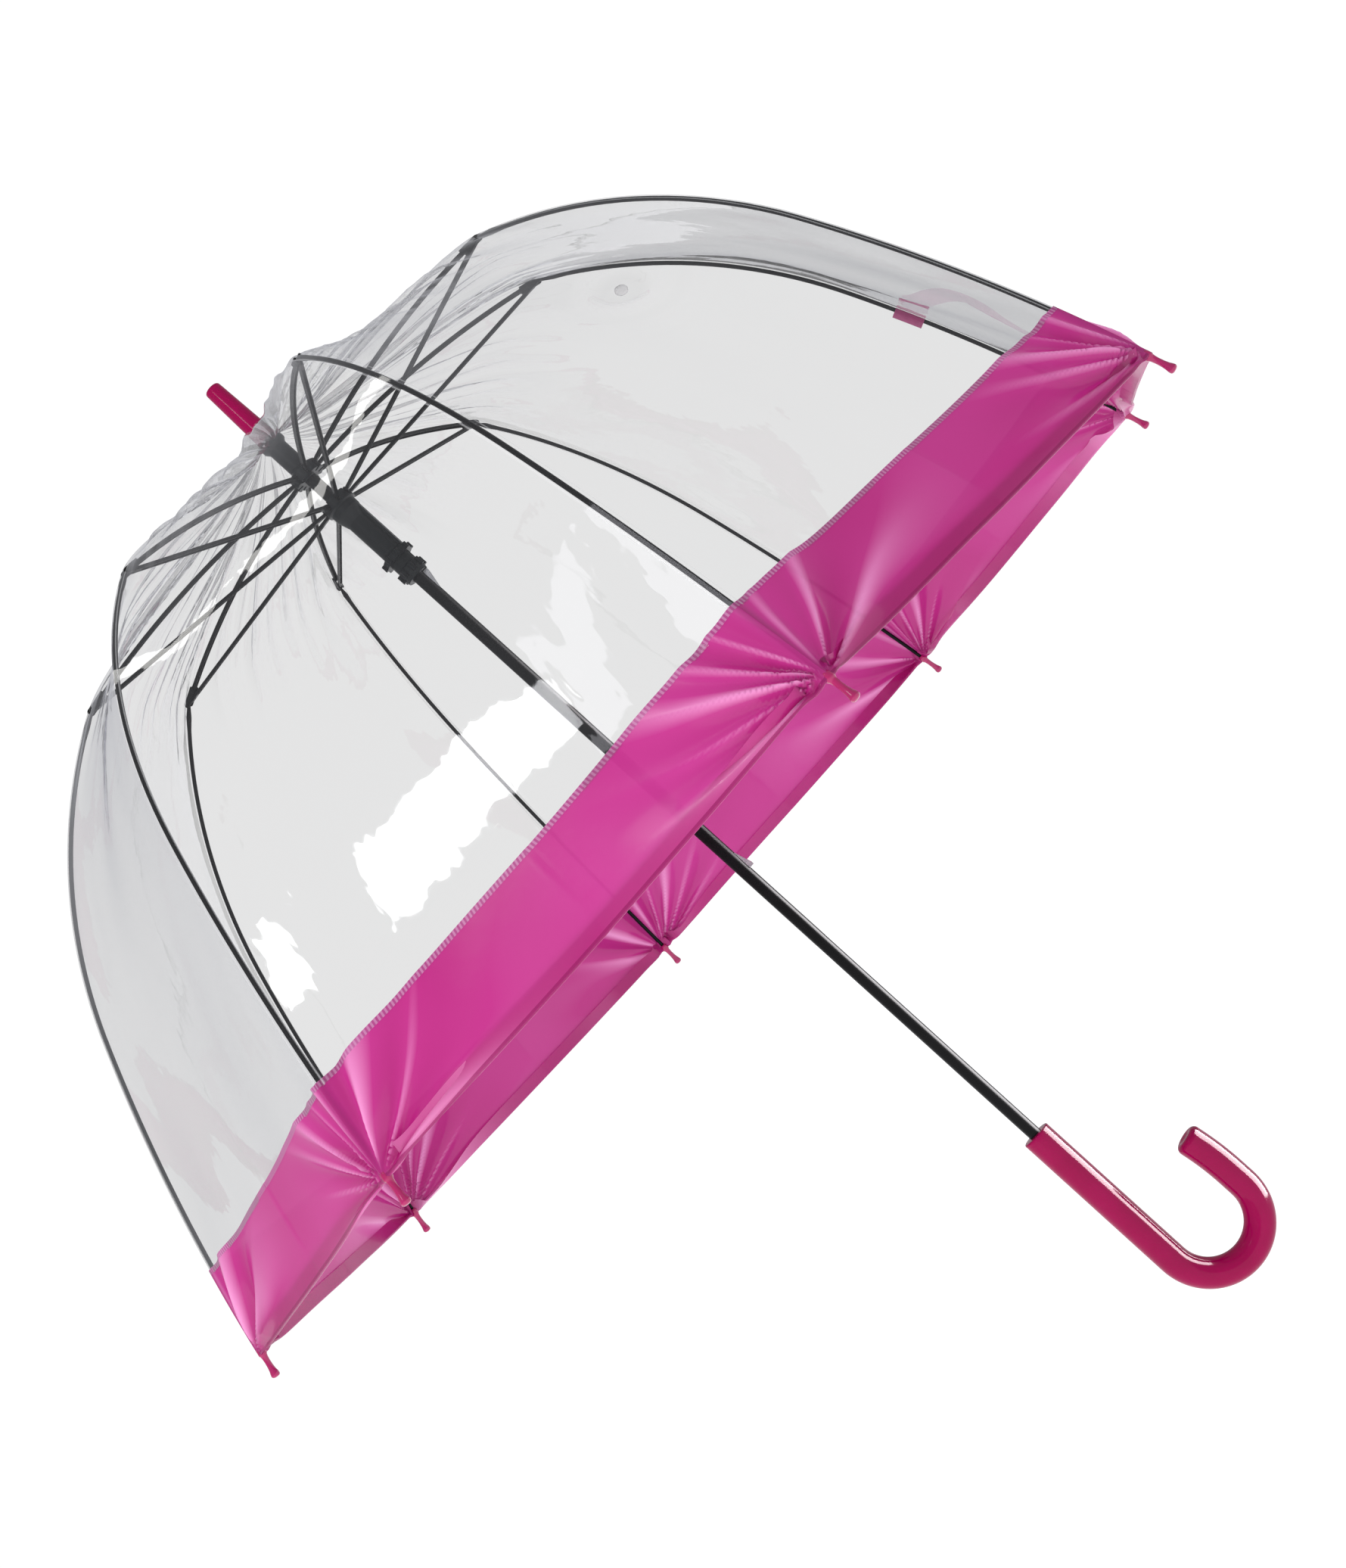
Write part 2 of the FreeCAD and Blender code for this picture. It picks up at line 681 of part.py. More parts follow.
def top_notch():
    """Crown piece fixed on the shaft: a plate under the film, a neck, and a slotted collar for the rib lugs."""
    body = lathe("top_notch_body", [
        ("shaft_radius", "crown_height - 4"),
        ("notch_radius", "crown_height - 4"),
        ("notch_radius", "crown_height + 4"),
        ("notch_neck", "crown_height + 7"),
        ("notch_neck", "crown_film_height - 8"),
        ("notch_plate", "crown_film_height - 5"),
        ("notch_plate", "crown_film_height - 1"),
        ("shaft_radius", "crown_film_height - 1"),
    ])
    slots = slots_for("top_notch_slots", "crown_height - 5", "5 + slot_clearance")
    groove = pivot_wire("top_notch_groove", "crown_height")
    return node(cut("top_notch", body, fuse("top_notch_tools", slots, groove)), "top_notch")


def runner():
    """Sliding piece: a slotted head, a flared cone, a sleeve with a ridge over its keyway, a star flange and grip."""
    bore = "shaft_radius + runner_gap"
    body = lathe("runner_body", [
        (bore, "sleeve_foot"),
        ("ring_radius - 1", "sleeve_foot"),
        ("ring_radius", "ring_height - 1"),
        ("ring_radius", "ring_height + ring_half"),
        ("sleeve_radius + 0.4", "ring_height + ring_half + 1"),
        ("sleeve_radius + 0.4", "flange_height - flange_half"),
        ("flange_radius", "flange_height - flange_half"),
        ("flange_radius", "flange_height + flange_half"),
        ("sleeve_radius", "flange_height + flange_half + 2"),
        ("sleeve_radius", "cone_height - 9"),
        ("cone_radius", "cone_height"),
        ("cone_radius", "hub_height - 5"),
        ("notch_radius", "hub_height - 4"),
        ("notch_radius", "hub_height + 3.5"),
        (bore, "hub_height + 3.5"),
    ])
    ridge = bar(
        "runner_ridge", "ridge_radius", "ridge_width", "cone_height - flange_height",
        (0.0, number("flange_height") + (number("cone_height") - number("flange_height")) / 2), 0,
    )
    ridge.Placement = about_shaft(catch_angle).multiply(ridge.Placement)
    star = lobes("runner_star", "flange_radius", "flange_height", "flange_half")
    grip = lobes("runner_grip", "ring_radius", "ring_height", "ring_half")
    solid = fuse("runner_solid", body, ridge, star, grip)
    below = FreeCAD.Vector(0, 0, number("sleeve_foot") - 1)
    bore_tool = cylinder(
        "runner_bore", bore, "hub_height - sleeve_foot + 10", FreeCAD.Placement(below, FreeCAD.Rotation())
    )
    keyway = bar(
        "runner_keyway", "keyway_depth", "keyway_width", "hub_height - sleeve_foot + 20",
        (0.0, (number("hub_height") + number("sleeve_foot")) / 2), 0,
    )
    keyway.Placement = about_shaft(catch_angle).multiply(keyway.Placement)
    slots = slots_for("runner_slots", "hub_height - slot_clearance", "slot_clearance + 5")
    groove = pivot_wire("runner_groove", "hub_height")
    tools = fuse("runner_tools", bore_tool, keyway, slots, groove)
    return node(cut("runner", solid, tools), "runner")


# ---- spring catches: teeth that press into the shaft

def catch(name, shoulder_up):
    """Tooth with a square shoulder that holds the runner, and a slope that it rides over."""
    foot = f"{name}_height"
    head = f"{name}_height + catch_length"
    slope, shoulder = (foot, head) if shoulder_up else (head, foot)
    land = f"{shoulder} - catch_land" if shoulder_up else f"{shoulder} + catch_land"
    body = plate(name + "_tooth", [
        ("catch_root", slope),
        ("shaft_radius", slope),
        ("catch_reach", land),
        ("catch_reach", shoulder),
        ("catch_root", shoulder),
    ], "catch_width")
    return node(body, name, about_shaft(catch_angle))


# ---- closing strap, sewn round one rod and lying against the film of the gore beside it

def tie_strap():
    share = share_at_height(number("strap_height"), 0.0)
    at = lower_arc.at(share)
    lean = lower_arc.start_angle - share * lower_arc.turn
    half = number("strap_width") / 2
    rotation = FreeCAD.Rotation(tangent, -lean).multiply(FreeCAD.Rotation(tangent, 90))
    foot = moved(at, -half, lean)
    place = FreeCAD.Placement(FreeCAD.Vector(foot[0], 0, foot[1]), rotation)
    sleeve = cut(
        "strap_sleeve", cylinder("strap_sleeve_outside", "strap_sleeve_radius", "strap_width", place),
        cylinder("strap_sleeve_inside", "rod_radius + 0.05", "strap_width", place),
    )
    inwards = lean - 90
    anchor = moved(at, number("strap_sleeve_radius") - number("strap_wall"), inwards)
    band = doc.addObject("Part::Box", "strap_band")
    bind(band, Length="strap_width", Width="strap_length", Height="strap_wall")
    shift = FreeCAD.Vector(-half, -number("strap_length"), 0)
    along = FreeCAD.Placement(FreeCAD.Vector(anchor[0], 0, anchor[1]), FreeCAD.Rotation(tangent, -lean))
    tilt = FreeCAD.Placement(centre, FreeCAD.Rotation(FreeCAD.Vector(1, 0, 0), 180.0 / number("rib_count")))
    band.Placement = along.multiply(tilt).multiply(FreeCAD.Placement(shift, FreeCAD.Rotation()))
    stud_at = FreeCAD.Vector(0, -number("strap_length") + number("strap_width") / 2, -number("stud_depth") / 2)
    stud = cylinder("strap_stud", "stud_radius", "stud_depth", along.multiply(tilt).multiply(
        FreeCAD.Placement(stud_at, FreeCAD.Rotation())
    ))
    return node(fuse("tie_strap", sleeve, band, stud), "tie_strap", about_shaft(rib_angle(0)))


# ---- build everything

catch_angle = number("first_rib_angle") - 180.0 / number("rib_count")
for index in range(int(number("rib_count"))):
    rib_channel(index)
    joint_clip(index)
    rod_upper(index)
    rod_lower(index)
    rib_tip(index)
    stretcher(index)
film_ring("canopy_gores", gore_section())
film_ring("canopy_trim", band_section())
tie_strap()
shaft_tube()
handle()
ferrule()
top_notch()
node(pivot_wire("notch_wire", "crown_height"), "notch_wire")
runner()
node(pivot_wire("runner_wire", "hub_height"), "runner_wire")
catch("top_catch", True)
catch("bottom_catch", False)
doc.recompute()

problems = [f"{o.Name}: {o.State}" for o in doc.Objects if {"Invalid", "Error"} & set(o.State)]
problems += [f"{p.Label}: no valid shape" for p in nodes if p.Shape.isNull() or not p.Shape.isValid()]
if problems:
    raise SystemExit("\n".join(problems))

os.makedirs("parts", exist_ok=True)
for piece in nodes:
    piece.Shape.exportStep(f"parts/{piece.Label}.step")
    print(f"{piece.Label}: {len(piece.Shape.Solids)} solid(s), {piece.Shape.Volume:.1f} mm3")
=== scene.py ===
import json
import math

import bpy
import numpy as np
from mathutils import Matrix, Vector, noise


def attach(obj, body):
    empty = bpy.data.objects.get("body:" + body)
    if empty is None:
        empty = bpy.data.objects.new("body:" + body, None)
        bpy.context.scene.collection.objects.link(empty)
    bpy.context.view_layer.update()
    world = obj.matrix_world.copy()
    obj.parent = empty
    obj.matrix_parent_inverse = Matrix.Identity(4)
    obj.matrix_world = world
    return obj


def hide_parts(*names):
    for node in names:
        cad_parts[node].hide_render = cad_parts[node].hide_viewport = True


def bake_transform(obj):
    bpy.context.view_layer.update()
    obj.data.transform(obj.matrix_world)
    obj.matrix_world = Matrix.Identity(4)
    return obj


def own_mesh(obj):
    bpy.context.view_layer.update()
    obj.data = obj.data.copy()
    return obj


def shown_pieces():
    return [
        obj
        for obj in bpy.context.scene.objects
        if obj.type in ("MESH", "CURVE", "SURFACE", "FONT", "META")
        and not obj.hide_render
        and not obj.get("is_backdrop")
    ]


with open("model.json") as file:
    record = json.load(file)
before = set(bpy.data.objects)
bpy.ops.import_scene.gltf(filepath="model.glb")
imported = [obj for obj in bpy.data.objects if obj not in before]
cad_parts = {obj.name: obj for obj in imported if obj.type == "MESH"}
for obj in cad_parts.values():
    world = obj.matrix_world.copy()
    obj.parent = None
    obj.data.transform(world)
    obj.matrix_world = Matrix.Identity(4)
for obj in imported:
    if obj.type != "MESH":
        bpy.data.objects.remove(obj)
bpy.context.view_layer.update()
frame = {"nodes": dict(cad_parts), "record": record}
joints = {joint["name"]: joint for joint in frame["record"]["behaviour"]["joints"]}


# Helpers for materials.
def newMaterial(name, slotColour):
    material = bpy.data.materials.new(name)
    material.use_nodes = True
    material.diffuse_color = slotColour
    material.node_tree.nodes.clear()
    return material, material.node_tree


def addNode(tree, kind, inputs=None, **settings):
    node = tree.nodes.new(kind)
    for key, value in settings.items():
        setattr(node, key, value)
    for key, value in (inputs or {}).items():
        if isinstance(value, bpy.types.NodeSocket):
            tree.links.new(value, node.inputs[key])
        else:
            node.inputs[key].default_value = value
    return node


def maths(tree, operation, *values, clamp=False):
    return addNode(tree, "ShaderNodeMath", dict(enumerate(values)), operation=operation, use_clamp=clamp).outputs[0]


def pointValue(tree, name):
    return addNode(tree, "ShaderNodeAttribute", attribute_name=name).outputs["Fac"]


def opaque(colour):
    return (*colour, 1.0)


def mixColour(tree, share, first, second):
    return addNode(tree, "ShaderNodeMix", {"Factor": share, 6: first, 7: second}, data_type="RGBA").outputs[2]


def mixShader(tree, share, first, second):
    return addNode(tree, "ShaderNodeMixShader", {0: share, 1: first, 2: second}).outputs[0]


def noiseAt(tree, scale, detail=3.0, roughness=0.5, stretch=(1, 1, 1)):
    place = addNode(tree, "ShaderNodeTexCoord")
    mapping = addNode(tree, "ShaderNodeMapping", {"Vector": place.outputs["Object"], "Scale": stretch})
    texture = addNode(tree, "ShaderNodeTexNoise", {
        "Vector": mapping.outputs[0], "Scale": scale, "Detail": detail, "Roughness": roughness,
    })
    return texture.outputs["Fac"]


def ramp(tree, factor, stops):
    node = addNode(tree, "ShaderNodeValToRGB", {"Fac": factor})
    elements = node.color_ramp.elements
    while len(elements) < len(stops):
        elements.new(0.5)
    for element, (position, colour) in zip(elements, stops):
        element.position = position
        element.color = opaque(colour)
    return node.outputs["Color"]


def outputOf(tree, shader):
    addNode(tree, "ShaderNodeOutputMaterial", {"Surface": shader})


# Hard glossy or satin finish. The tone, the gloss and the surface each vary a little.
def hardFinish(name, roughness, roughSpread, grain, grainScale, grainDepth, stretch=(1, 1, 1),
               coat=0.0, metallic=0.0, specular=0.5):
    colour, darker = finishes[name]
    material, tree = newMaterial(name, opaque(colour))
    mottle = noiseAt(tree, 40.0, 4.0, 0.6, stretch)
    tone = ramp(tree, mottle, [(0.3, darker), (0.7, colour)])
    fine = noiseAt(tree, grainScale, 3.0, 0.6, stretch)
    gloss = maths(tree, "MULTIPLY_ADD", fine, roughSpread, roughness - roughSpread / 2)
    bump = addNode(tree, "ShaderNodeBump", {"Height": fine, "Strength": grain, "Distance": grainDepth})
    shader = addNode(tree, "ShaderNodeBsdfPrincipled", {
        "Base Color": tone, "Roughness": gloss, "Normal": bump.outputs[0], "Metallic": metallic,
        "Specular IOR Level": specular, "Coat Weight": coat, "Coat Roughness": 0.04,
    })
    outputOf(tree, shader.outputs[0])
    return material


# Colour of each hard finish, and the darker tone it is mottled with.
finishes = {
    "blackPaint": ((0.004, 0.004, 0.005), (0.002, 0.002, 0.002)),
    "blackRod": ((0.004, 0.004, 0.005), (0.002, 0.002, 0.002)),
    "blackMoulding": ((0.006, 0.008, 0.009), (0.003, 0.004, 0.005)),
    "handleGloss": ((0.315, 0.0, 0.068), (0.275, 0.0, 0.056)),
    "tipGloss": ((0.40, 0.004, 0.11), (0.33, 0.001, 0.085)),
    "brightSteel": ((0.55, 0.55, 0.57), (0.42, 0.42, 0.44)),
}

blackPaint = hardFinish("blackPaint", 0.26, 0.10, 0.05, 900.0, 0.00002, specular=0.14)
blackRod = hardFinish("blackRod", 0.34, 0.10, 0.08, 700.0, 0.00002, specular=0.12)
blackMoulding = hardFinish("blackMoulding", 0.30, 0.12, 0.12, 600.0, 0.00006, specular=0.20)
handleGloss = hardFinish("handleGloss", 0.12, 0.04, 0.02, 60.0, 0.00001, specular=0.17)
tipGloss = hardFinish("tipGloss", 0.20, 0.06, 0.05, 400.0, 0.0001, coat=0.3)
brightSteel = hardFinish("brightSteel", 0.28, 0.10, 0.2, 500.0, 0.0002, (1, 1, 8), metallic=1.0)

clearFilm = {
    "tint": (0.866, 0.866, 0.865),
    "edgeTint": (0.72, 0.72, 0.72),
    "reflection": 0.042,
    "roughness": 0.03,
    "rippleScale": 9.0,
    "rippleDepth": 0.0045,
    "weldPlace": 0.0034,
    "weldWidth": 0.0008,
    "weldHaze": 0.35,
    "overallHaze": 0.003,
    # painted highlight and painted shade on the two flanks of each crease
    "creaseHighlight": 0.24,
    "creaseShade": 0.30,
    "milkAndHighlight": (0.80, 0.80, 0.81),
    "gleam": (0.97, 0.97, 1.0),
}

pinkFilm = {
    "colour": (0.50, 0.014, 0.215),
    "lit": (0.62, 0.045, 0.315),
    "seeThrough": (0.80, 0.20, 0.50),
    "opacity": 0.95,
    "roughness": 0.22,
    # painted highlight on the pleats' ridges and painted shade in their valleys
    "ridge": (0.95, 0.36, 0.70),
    "ridgeShare": 1.05,
    "valleyShade": (0.42, 0.006, 0.17),
    "valleyShadeShare": 0.75,
    "rimLine": (0.34, 0.006, 0.14),
    "rimLineShare": 0.7,
    "rimLineWidth": 0.0013,
    "weld": (0.36, 0.10, 0.26),
    "weldShare": 0.55,
    "weldWidth": 0.0032,
    "tick": (0.70, 0.36, 0.58),
    "tickShare": 0.5,
    "tickPitch": 0.0026,
    "glow": 0.42,
}


# Reflection of a thin film: the same from both sides, and stronger at a glancing angle.
def filmReflection(tree, facingShare, normal):
    facing = addNode(tree, "ShaderNodeLayerWeight", {"Blend": 0.5, "Normal": normal}).outputs["Facing"]
    steep = maths(tree, "POWER", facing, 4.5)
    return maths(tree, "MULTIPLY_ADD", steep, 1.0 - facingShare, facingShare, clamp=True), facing


def makeClearFilm():
    look = clearFilm
    material, tree = newMaterial("clearFilm", (*look["tint"], 0.25))
    broad = noiseAt(tree, look["rippleScale"], 2.0, 0.45, (1.0, 1.0, 0.55))
    fine = noiseAt(tree, look["rippleScale"] * 6.0, 2.0, 0.5, (1.0, 1.0, 0.4))
    ripple = maths(tree, "MULTIPLY_ADD", fine, 0.10, broad)
    bump = addNode(tree, "ShaderNodeBump", {"Height": ripple, "Strength": 0.6, "Distance": look["rippleDepth"]})
    mirror, facing = filmReflection(tree, look["reflection"], bump.outputs[0])
    # the film is greyer at a glancing angle, and painted shade greys one flank of each crease
    fold = pointValue(tree, "fold")
    grazing = maths(tree, "POWER", facing, 3.0)
    shade = maths(tree, "MULTIPLY", fold, -look["creaseShade"], clamp=True)
    tint = mixColour(tree, maths(tree, "ADD", grazing, shade, clamp=True),
                     opaque(look["tint"]), opaque(look["edgeTint"]))
    through = addNode(tree, "ShaderNodeBsdfTransparent", {"Color": tint})
    gloss = addNode(tree, "ShaderNodeBsdfGlossy", {
        "Color": opaque(look["gleam"]), "Roughness": look["roughness"], "Normal": bump.outputs[0],
    })
    film = mixShader(tree, mirror, through.outputs[0], gloss.outputs[0])
    # a thin milky weld runs beside each rib, a whitish painted highlight lies on the other flank of a crease, and a
    # faint haze lies on all
    besideRib = maths(tree, "ABSOLUTE", maths(tree, "SUBTRACT", pointValue(tree, "fromRib"), look["weldPlace"]))
    nearWeld = maths(tree, "SUBTRACT", 1.0, maths(tree, "DIVIDE", besideRib, look["weldWidth"]), clamp=True)
    hazeAndHighlight = maths(tree, "MULTIPLY_ADD", nearWeld, look["weldHaze"], look["overallHaze"])
    hazeAndHighlight = maths(tree, "ADD", hazeAndHighlight, maths(tree, "MULTIPLY", fold, look["creaseHighlight"], clamp=True))
    milkyAndHighlight = addNode(tree, "ShaderNodeBsdfDiffuse", {"Color": opaque(look["milkAndHighlight"])})
    outputOf(tree, mixShader(tree, hazeAndHighlight, film, milkyAndHighlight.outputs[0]))
    return material


def makePinkFilm():
    look = pinkFilm
    material, tree = newMaterial("pinkFilm", (*look["colour"], 0.8))
    cloud = noiseAt(tree, 5.0, 2.0, 0.5)
    # the band's tone drifts in broad random patches towards lit, a painted-light copy of its colour
    tone = ramp(tree, cloud, [(0.35, look["colour"]), (0.75, look["lit"])])
    fine = noiseAt(tree, 60.0, 2.0, 0.5)
    # painted highlight pales the ridges of the pleats and painted shade darkens their valleys, and the film is
    # denser on the rim
    fold = pointValue(tree, "fold")
    onRim = maths(tree, "LESS_THAN", maths(tree, "ABSOLUTE", pointValue(tree, "fromRim")), look["rimLineWidth"])
    ridge = maths(tree, "MULTIPLY", fold, look["ridgeShare"], clamp=True)
    valleyShade = maths(tree, "MULTIPLY", fold, -look["valleyShadeShare"], clamp=True)
    # the weld along the band's top edge is pressed in short ticks
    inWeld = maths(tree, "LESS_THAN", pointValue(tree, "fromTop"), look["weldWidth"])
    tick = maths(tree, "PINGPONG", pointValue(tree, "alongRim"), look["tickPitch"] / 2)
    tick = maths(tree, "GREATER_THAN", tick, look["tickPitch"] / 4)
    pressed = maths(tree, "MULTIPLY", inWeld, tick)
    for share, colour in (
        (ridge, look["ridge"]),
        (valleyShade, look["valleyShade"]),
        (maths(tree, "MULTIPLY", onRim, look["rimLineShare"]), look["rimLine"]),
        (maths(tree, "MULTIPLY", inWeld, look["weldShare"]), look["weld"]),
        (maths(tree, "MULTIPLY", pressed, look["tickShare"]), look["tick"]),
    ):
        tone = mixColour(tree, share, tone, opaque(colour))
    height = maths(tree, "MULTIPLY_ADD", pressed, 0.6, fine)
    bump = addNode(tree, "ShaderNodeBump", {"Height": height, "Strength": 0.25, "Distance": 0.0006})
    skin = addNode(tree, "ShaderNodeBsdfPrincipled", {
        "Base Color": tone, "Roughness": look["roughness"], "Normal": bump.outputs[0],
        "Specular IOR Level": 0.45, "Coat Weight": 0.3, "Coat Roughness": 0.08,
    })
    glow = addNode(tree, "ShaderNodeBsdfTranslucent", {"Color": tone, "Normal": bump.outputs[0]})
    sheet = mixShader(tree, look["glow"], skin.outputs[0], glow.outputs[0])
    through = addNode(tree, "ShaderNodeBsdfTransparent", {"Color": opaque(look["seeThrough"])})
    outputOf(tree, mixShader(tree, look["opacity"], through.outputs[0], sheet))
    return material


strapLook = {
    "ribbon": (0.78, 0.34, 0.53), "ribbonOpacity": 0.28,
    "sleeve": (0.36, 0.035, 0.16), "sleeveOpacity": 0.85,
    "stud": (0.90, 0.90, 0.90), "studOpacity": 0.55,
    "ribbonTint": (1.0, 0.86, 0.94), "studTint": (0.95, 0.95, 0.95),
}


# Soft plastic of the strap and its stud: part see-through, part coloured.
def softFilm(name, colour, opacity, tint):
    material, tree = newMaterial(name, (*colour, opacity))
    cloud = noiseAt(tree, 70.0, 3.0, 0.5)
    tone = ramp(tree, cloud, [(0.3, tuple(0.8 * c for c in colour)), (0.7, colour)])
    bump = addNode(tree, "ShaderNodeBump", {"Height": cloud, "Strength": 0.3, "Distance": 0.0005})
    skin = addNode(tree, "ShaderNodeBsdfPrincipled", {
        "Base Color": tone, "Roughness": 0.25, "Normal": bump.outputs[0],
    })
    through = addNode(tree, "ShaderNodeBsdfTransparent", {"Color": opaque(tint)})
    outputOf(tree, mixShader(tree, opacity, through.outputs[0], skin.outputs[0]))
    return material


clearFilmMaterial = makeClearFilm()
pinkFilmMaterial = makePinkFilm()
strapFilmMaterial = softFilm("strapFilm", strapLook["ribbon"], strapLook["ribbonOpacity"], strapLook["ribbonTint"])
sleeveMaterial = softFilm("strapSleeve", strapLook["sleeve"], strapLook["sleeveOpacity"], strapLook["ribbonTint"])
studGloss = softFilm("studGloss", strapLook["stud"], strapLook["studOpacity"], strapLook["studTint"])
print("finishes made")


# Helpers for meshes.
def meshObject(name, points, faces, material):
    mesh = bpy.data.meshes.new(name)
    mesh.from_pydata([tuple(p) for p in points], [], faces)
    mesh.polygons.foreach_set("use_smooth", [True] * len(mesh.polygons))
    mesh.update()
    made = bpy.data.objects.new(name, mesh)
    bpy.context.scene.collection.objects.link(made)
    mesh.materials.append(material)
    return made


def gridFaces(rows, columns, closed=False, flip=False):
    faces = []
    wrap = columns if closed else columns - 1
    for r in range(rows - 1):
        for c in range(wrap):
            n = (c + 1) % columns
            quad = (r * columns + c, r * columns + n, (r + 1) * columns + n, (r + 1) * columns + c)
            faces.append(quad[::-1] if flip else quad)
    return faces


# Rings of points joined in order. Each end can be closed by a fan.
def loft(name, rings, material, closeEnds=True):
    count = len(rings[0])
    points = [p for ring in rings for p in ring]
    faces = gridFaces(len(rings), count, closed=True)
    if closeEnds:
        for ring, order in ((0, -1), (len(rings) - 1, 1)):
            points.append(sum((Vector(p) for p in rings[ring]), Vector()) / count)
            hub = len(points) - 1
            for c in range(count):
                a, b = ring * count + c, ring * count + (c + 1) % count
                faces.append((hub, a, b) if order > 0 else (hub, b, a))
    return meshObject(name, points, faces, material)


def aroundShaft(angle):
    return Matrix.Rotation(angle, 4, "Z")


# Turned shape: (radius, distance) steps along an axis from a point.
def turned(name, profile, start, along, material, segments=32):
    toAxis = Vector(along).normalized().to_track_quat("Z", "Y").to_matrix()
    rings = []
    for radius, distance in profile:
        ring = []
        for k in range(segments):
            turn = 2 * math.pi * k / segments
            spot = Vector((radius * math.cos(turn), radius * math.sin(turn), distance))
            ring.append(Vector(start) + toAxis @ spot)
        rings.append(ring)
    return loft(name, rings, material)


def ease(value):
    value = min(max(value, 0.0), 1.0)
    return value * value * (3 - 2 * value)


# The open canopy along one rib. Points are (distance from the shaft, height), and the lean is in degrees.
canopy = {
    "crown": (0.0086, 0.7722),
    "crownSlope": (0.52, -0.32),
    "kneeSlope": (0.66, -0.34),
    "tip": (0.445, 0.343),
    "middleLean": 24.0,
    "rodRadius": 0.00155,
    "filmLift": 0.0023,
    "bandLift": 0.0029,
    "bandHeight": 0.404,
    "bandLap": 0.004,
    "sagAtJoint": 0.0105,
    "sagAtMiddle": 0.0070,
    "sagAtRim": 0.0040,
}


def inRibPlane(jointName):
    x, y, z = joints[jointName]["pos_m"]
    return math.hypot(x, y), z


ribCount = sum(name.endswith("_fold") for name in joints)
firstRib = math.atan2(joints["canopy_fold"]["pos_m"][1], joints["canopy_fold"]["pos_m"][0])
halfGore = math.pi / ribCount
knee = inRibPlane("rod_1_swing")
middle = inRibPlane("rod_1_straighten")


def ribAngle(index):
    return firstRib + 2 * halfGore * index


# Circular arc from start to end that bulges outwards, given the half of its turn.
def arcBetween(start, end, halfTurn):
    run, drop = end[0] - start[0], end[1] - start[1]
    radius = math.hypot(run, drop) / (2 * math.sin(halfTurn))
    startAngle = math.atan2(drop, run) + halfTurn
    centre = (start[0] + radius * math.sin(startAngle), start[1] - radius * math.cos(startAngle))

    def at(share, lift=0.0):
        angle = startAngle + math.pi / 2 - 2 * halfTurn * share
        normal = (math.cos(angle), math.sin(angle))
        return (centre[0] + (radius + lift) * normal[0], centre[1] + (radius + lift) * normal[1]), normal

    at.length = radius * 2 * halfTurn
    at.heightShare = lambda z, lift: (
        startAngle + math.pi / 2 - math.asin((z - centre[1]) / (radius + lift))
    ) / (2 * halfTurn)
    return at


leanAngle = math.radians(canopy["middleLean"] - 90)
upperChord = math.atan2(middle[1] - knee[1], middle[0] - knee[0])
lowerChord = math.atan2(canopy["tip"][1] - middle[1], canopy["tip"][0] - middle[0])
upperRod = arcBetween(knee, middle, upperChord - leanAngle)
lowerRod = arcBetween(middle, canopy["tip"], leanAngle - lowerChord)


# Station 0 is the crown, 1 the joint, 2 the middle of the rod, and 3 the rim.
def ribLine(station, lift):
    if station >= 2:
        return lowerRod(station - 2, lift)
    if station >= 1:
        return upperRod(station - 1, lift)
    end, _ = upperRod(0.0, lift)
    start = (canopy["crown"][0], canopy["crown"][1] + lift - canopy["filmLift"])
    reach = math.dist(start, end)
    t = station
    weights = (2 * t**3 - 3 * t**2 + 1, t**3 - 2 * t**2 + t, 3 * t**2 - 2 * t**3, t**3 - t**2)
    slopes = (6 * t**2 - 6 * t, 3 * t**2 - 4 * t + 1, 6 * t - 6 * t**2, 3 * t**2 - 2 * t)
    spot, slope = [], []
    for k in (0, 1):
        parts = (start[k], canopy["crownSlope"][k] * reach, end[k], canopy["kneeSlope"][k] * reach)
        spot.append(sum(w * p for w, p in zip(weights, parts)))
        slope.append(sum(w * p for w, p in zip(slopes, parts)))
    length = math.hypot(*slope)
    return tuple(spot), (-slope[1] / length, slope[0] / length)


def sagAt(station):
    steps = [(0.0, 0.0), (1.0, canopy["sagAtJoint"]), (2.0, canopy["sagAtMiddle"]), (3.0, canopy["sagAtRim"])]
    for (a, low), (b, high) in zip(steps, steps[1:]):
        if station <= b:
            return low + (high - low) * ease((station - a) / (b - a))
    return steps[-1][1]


# The press stud of the closing strap, on the first gore, as a share across it and a station down it.
stud = {
    "across": -0.80,
    "station": 1.30,
    "radius": 0.0052,
    "height": 0.0024,
    "profile": ((0.3, -0.6), (0.72, -0.5), (1.0, -0.1), (1.0, 0.15), (0.84, 0.45), (0.5, 0.5), (0.42, 0.95),
                (0.2, 1.0)),
}

# Depths and reaches of the folds in metres. Pitches and counts say how close together they lie.
wrinkles = {
    "crownDepth": 0.0048,
    "crownPitch": 8.0,
    "bodyDepth": 0.0022,
    "bodyPitch": 1.8,
    "jointRay": 0.0012,
    "jointRayPitch": 26.0,
    "pleatDepth": 0.0030,
    "pleatReach": 0.070,
    "pleatCount": 21.0,
    "foldDepth": 0.0030,
    "foldReach": 0.115,
    "foldCount": 7.5,
    "bandWave": 0.0012,
    "studDimple": 0.0034,
    "dimpleReach": 0.016,
    "studRipple": 0.0022,
    "studRings": 9.0,
    "studReach": 0.044,
    "studGoreHalf": 0.15,
    "goreSeed": 7.3,
    "bandSeed": 3.7,
}


def bellCurve(distance, reach):
    return math.exp(-((distance / reach) ** 2))


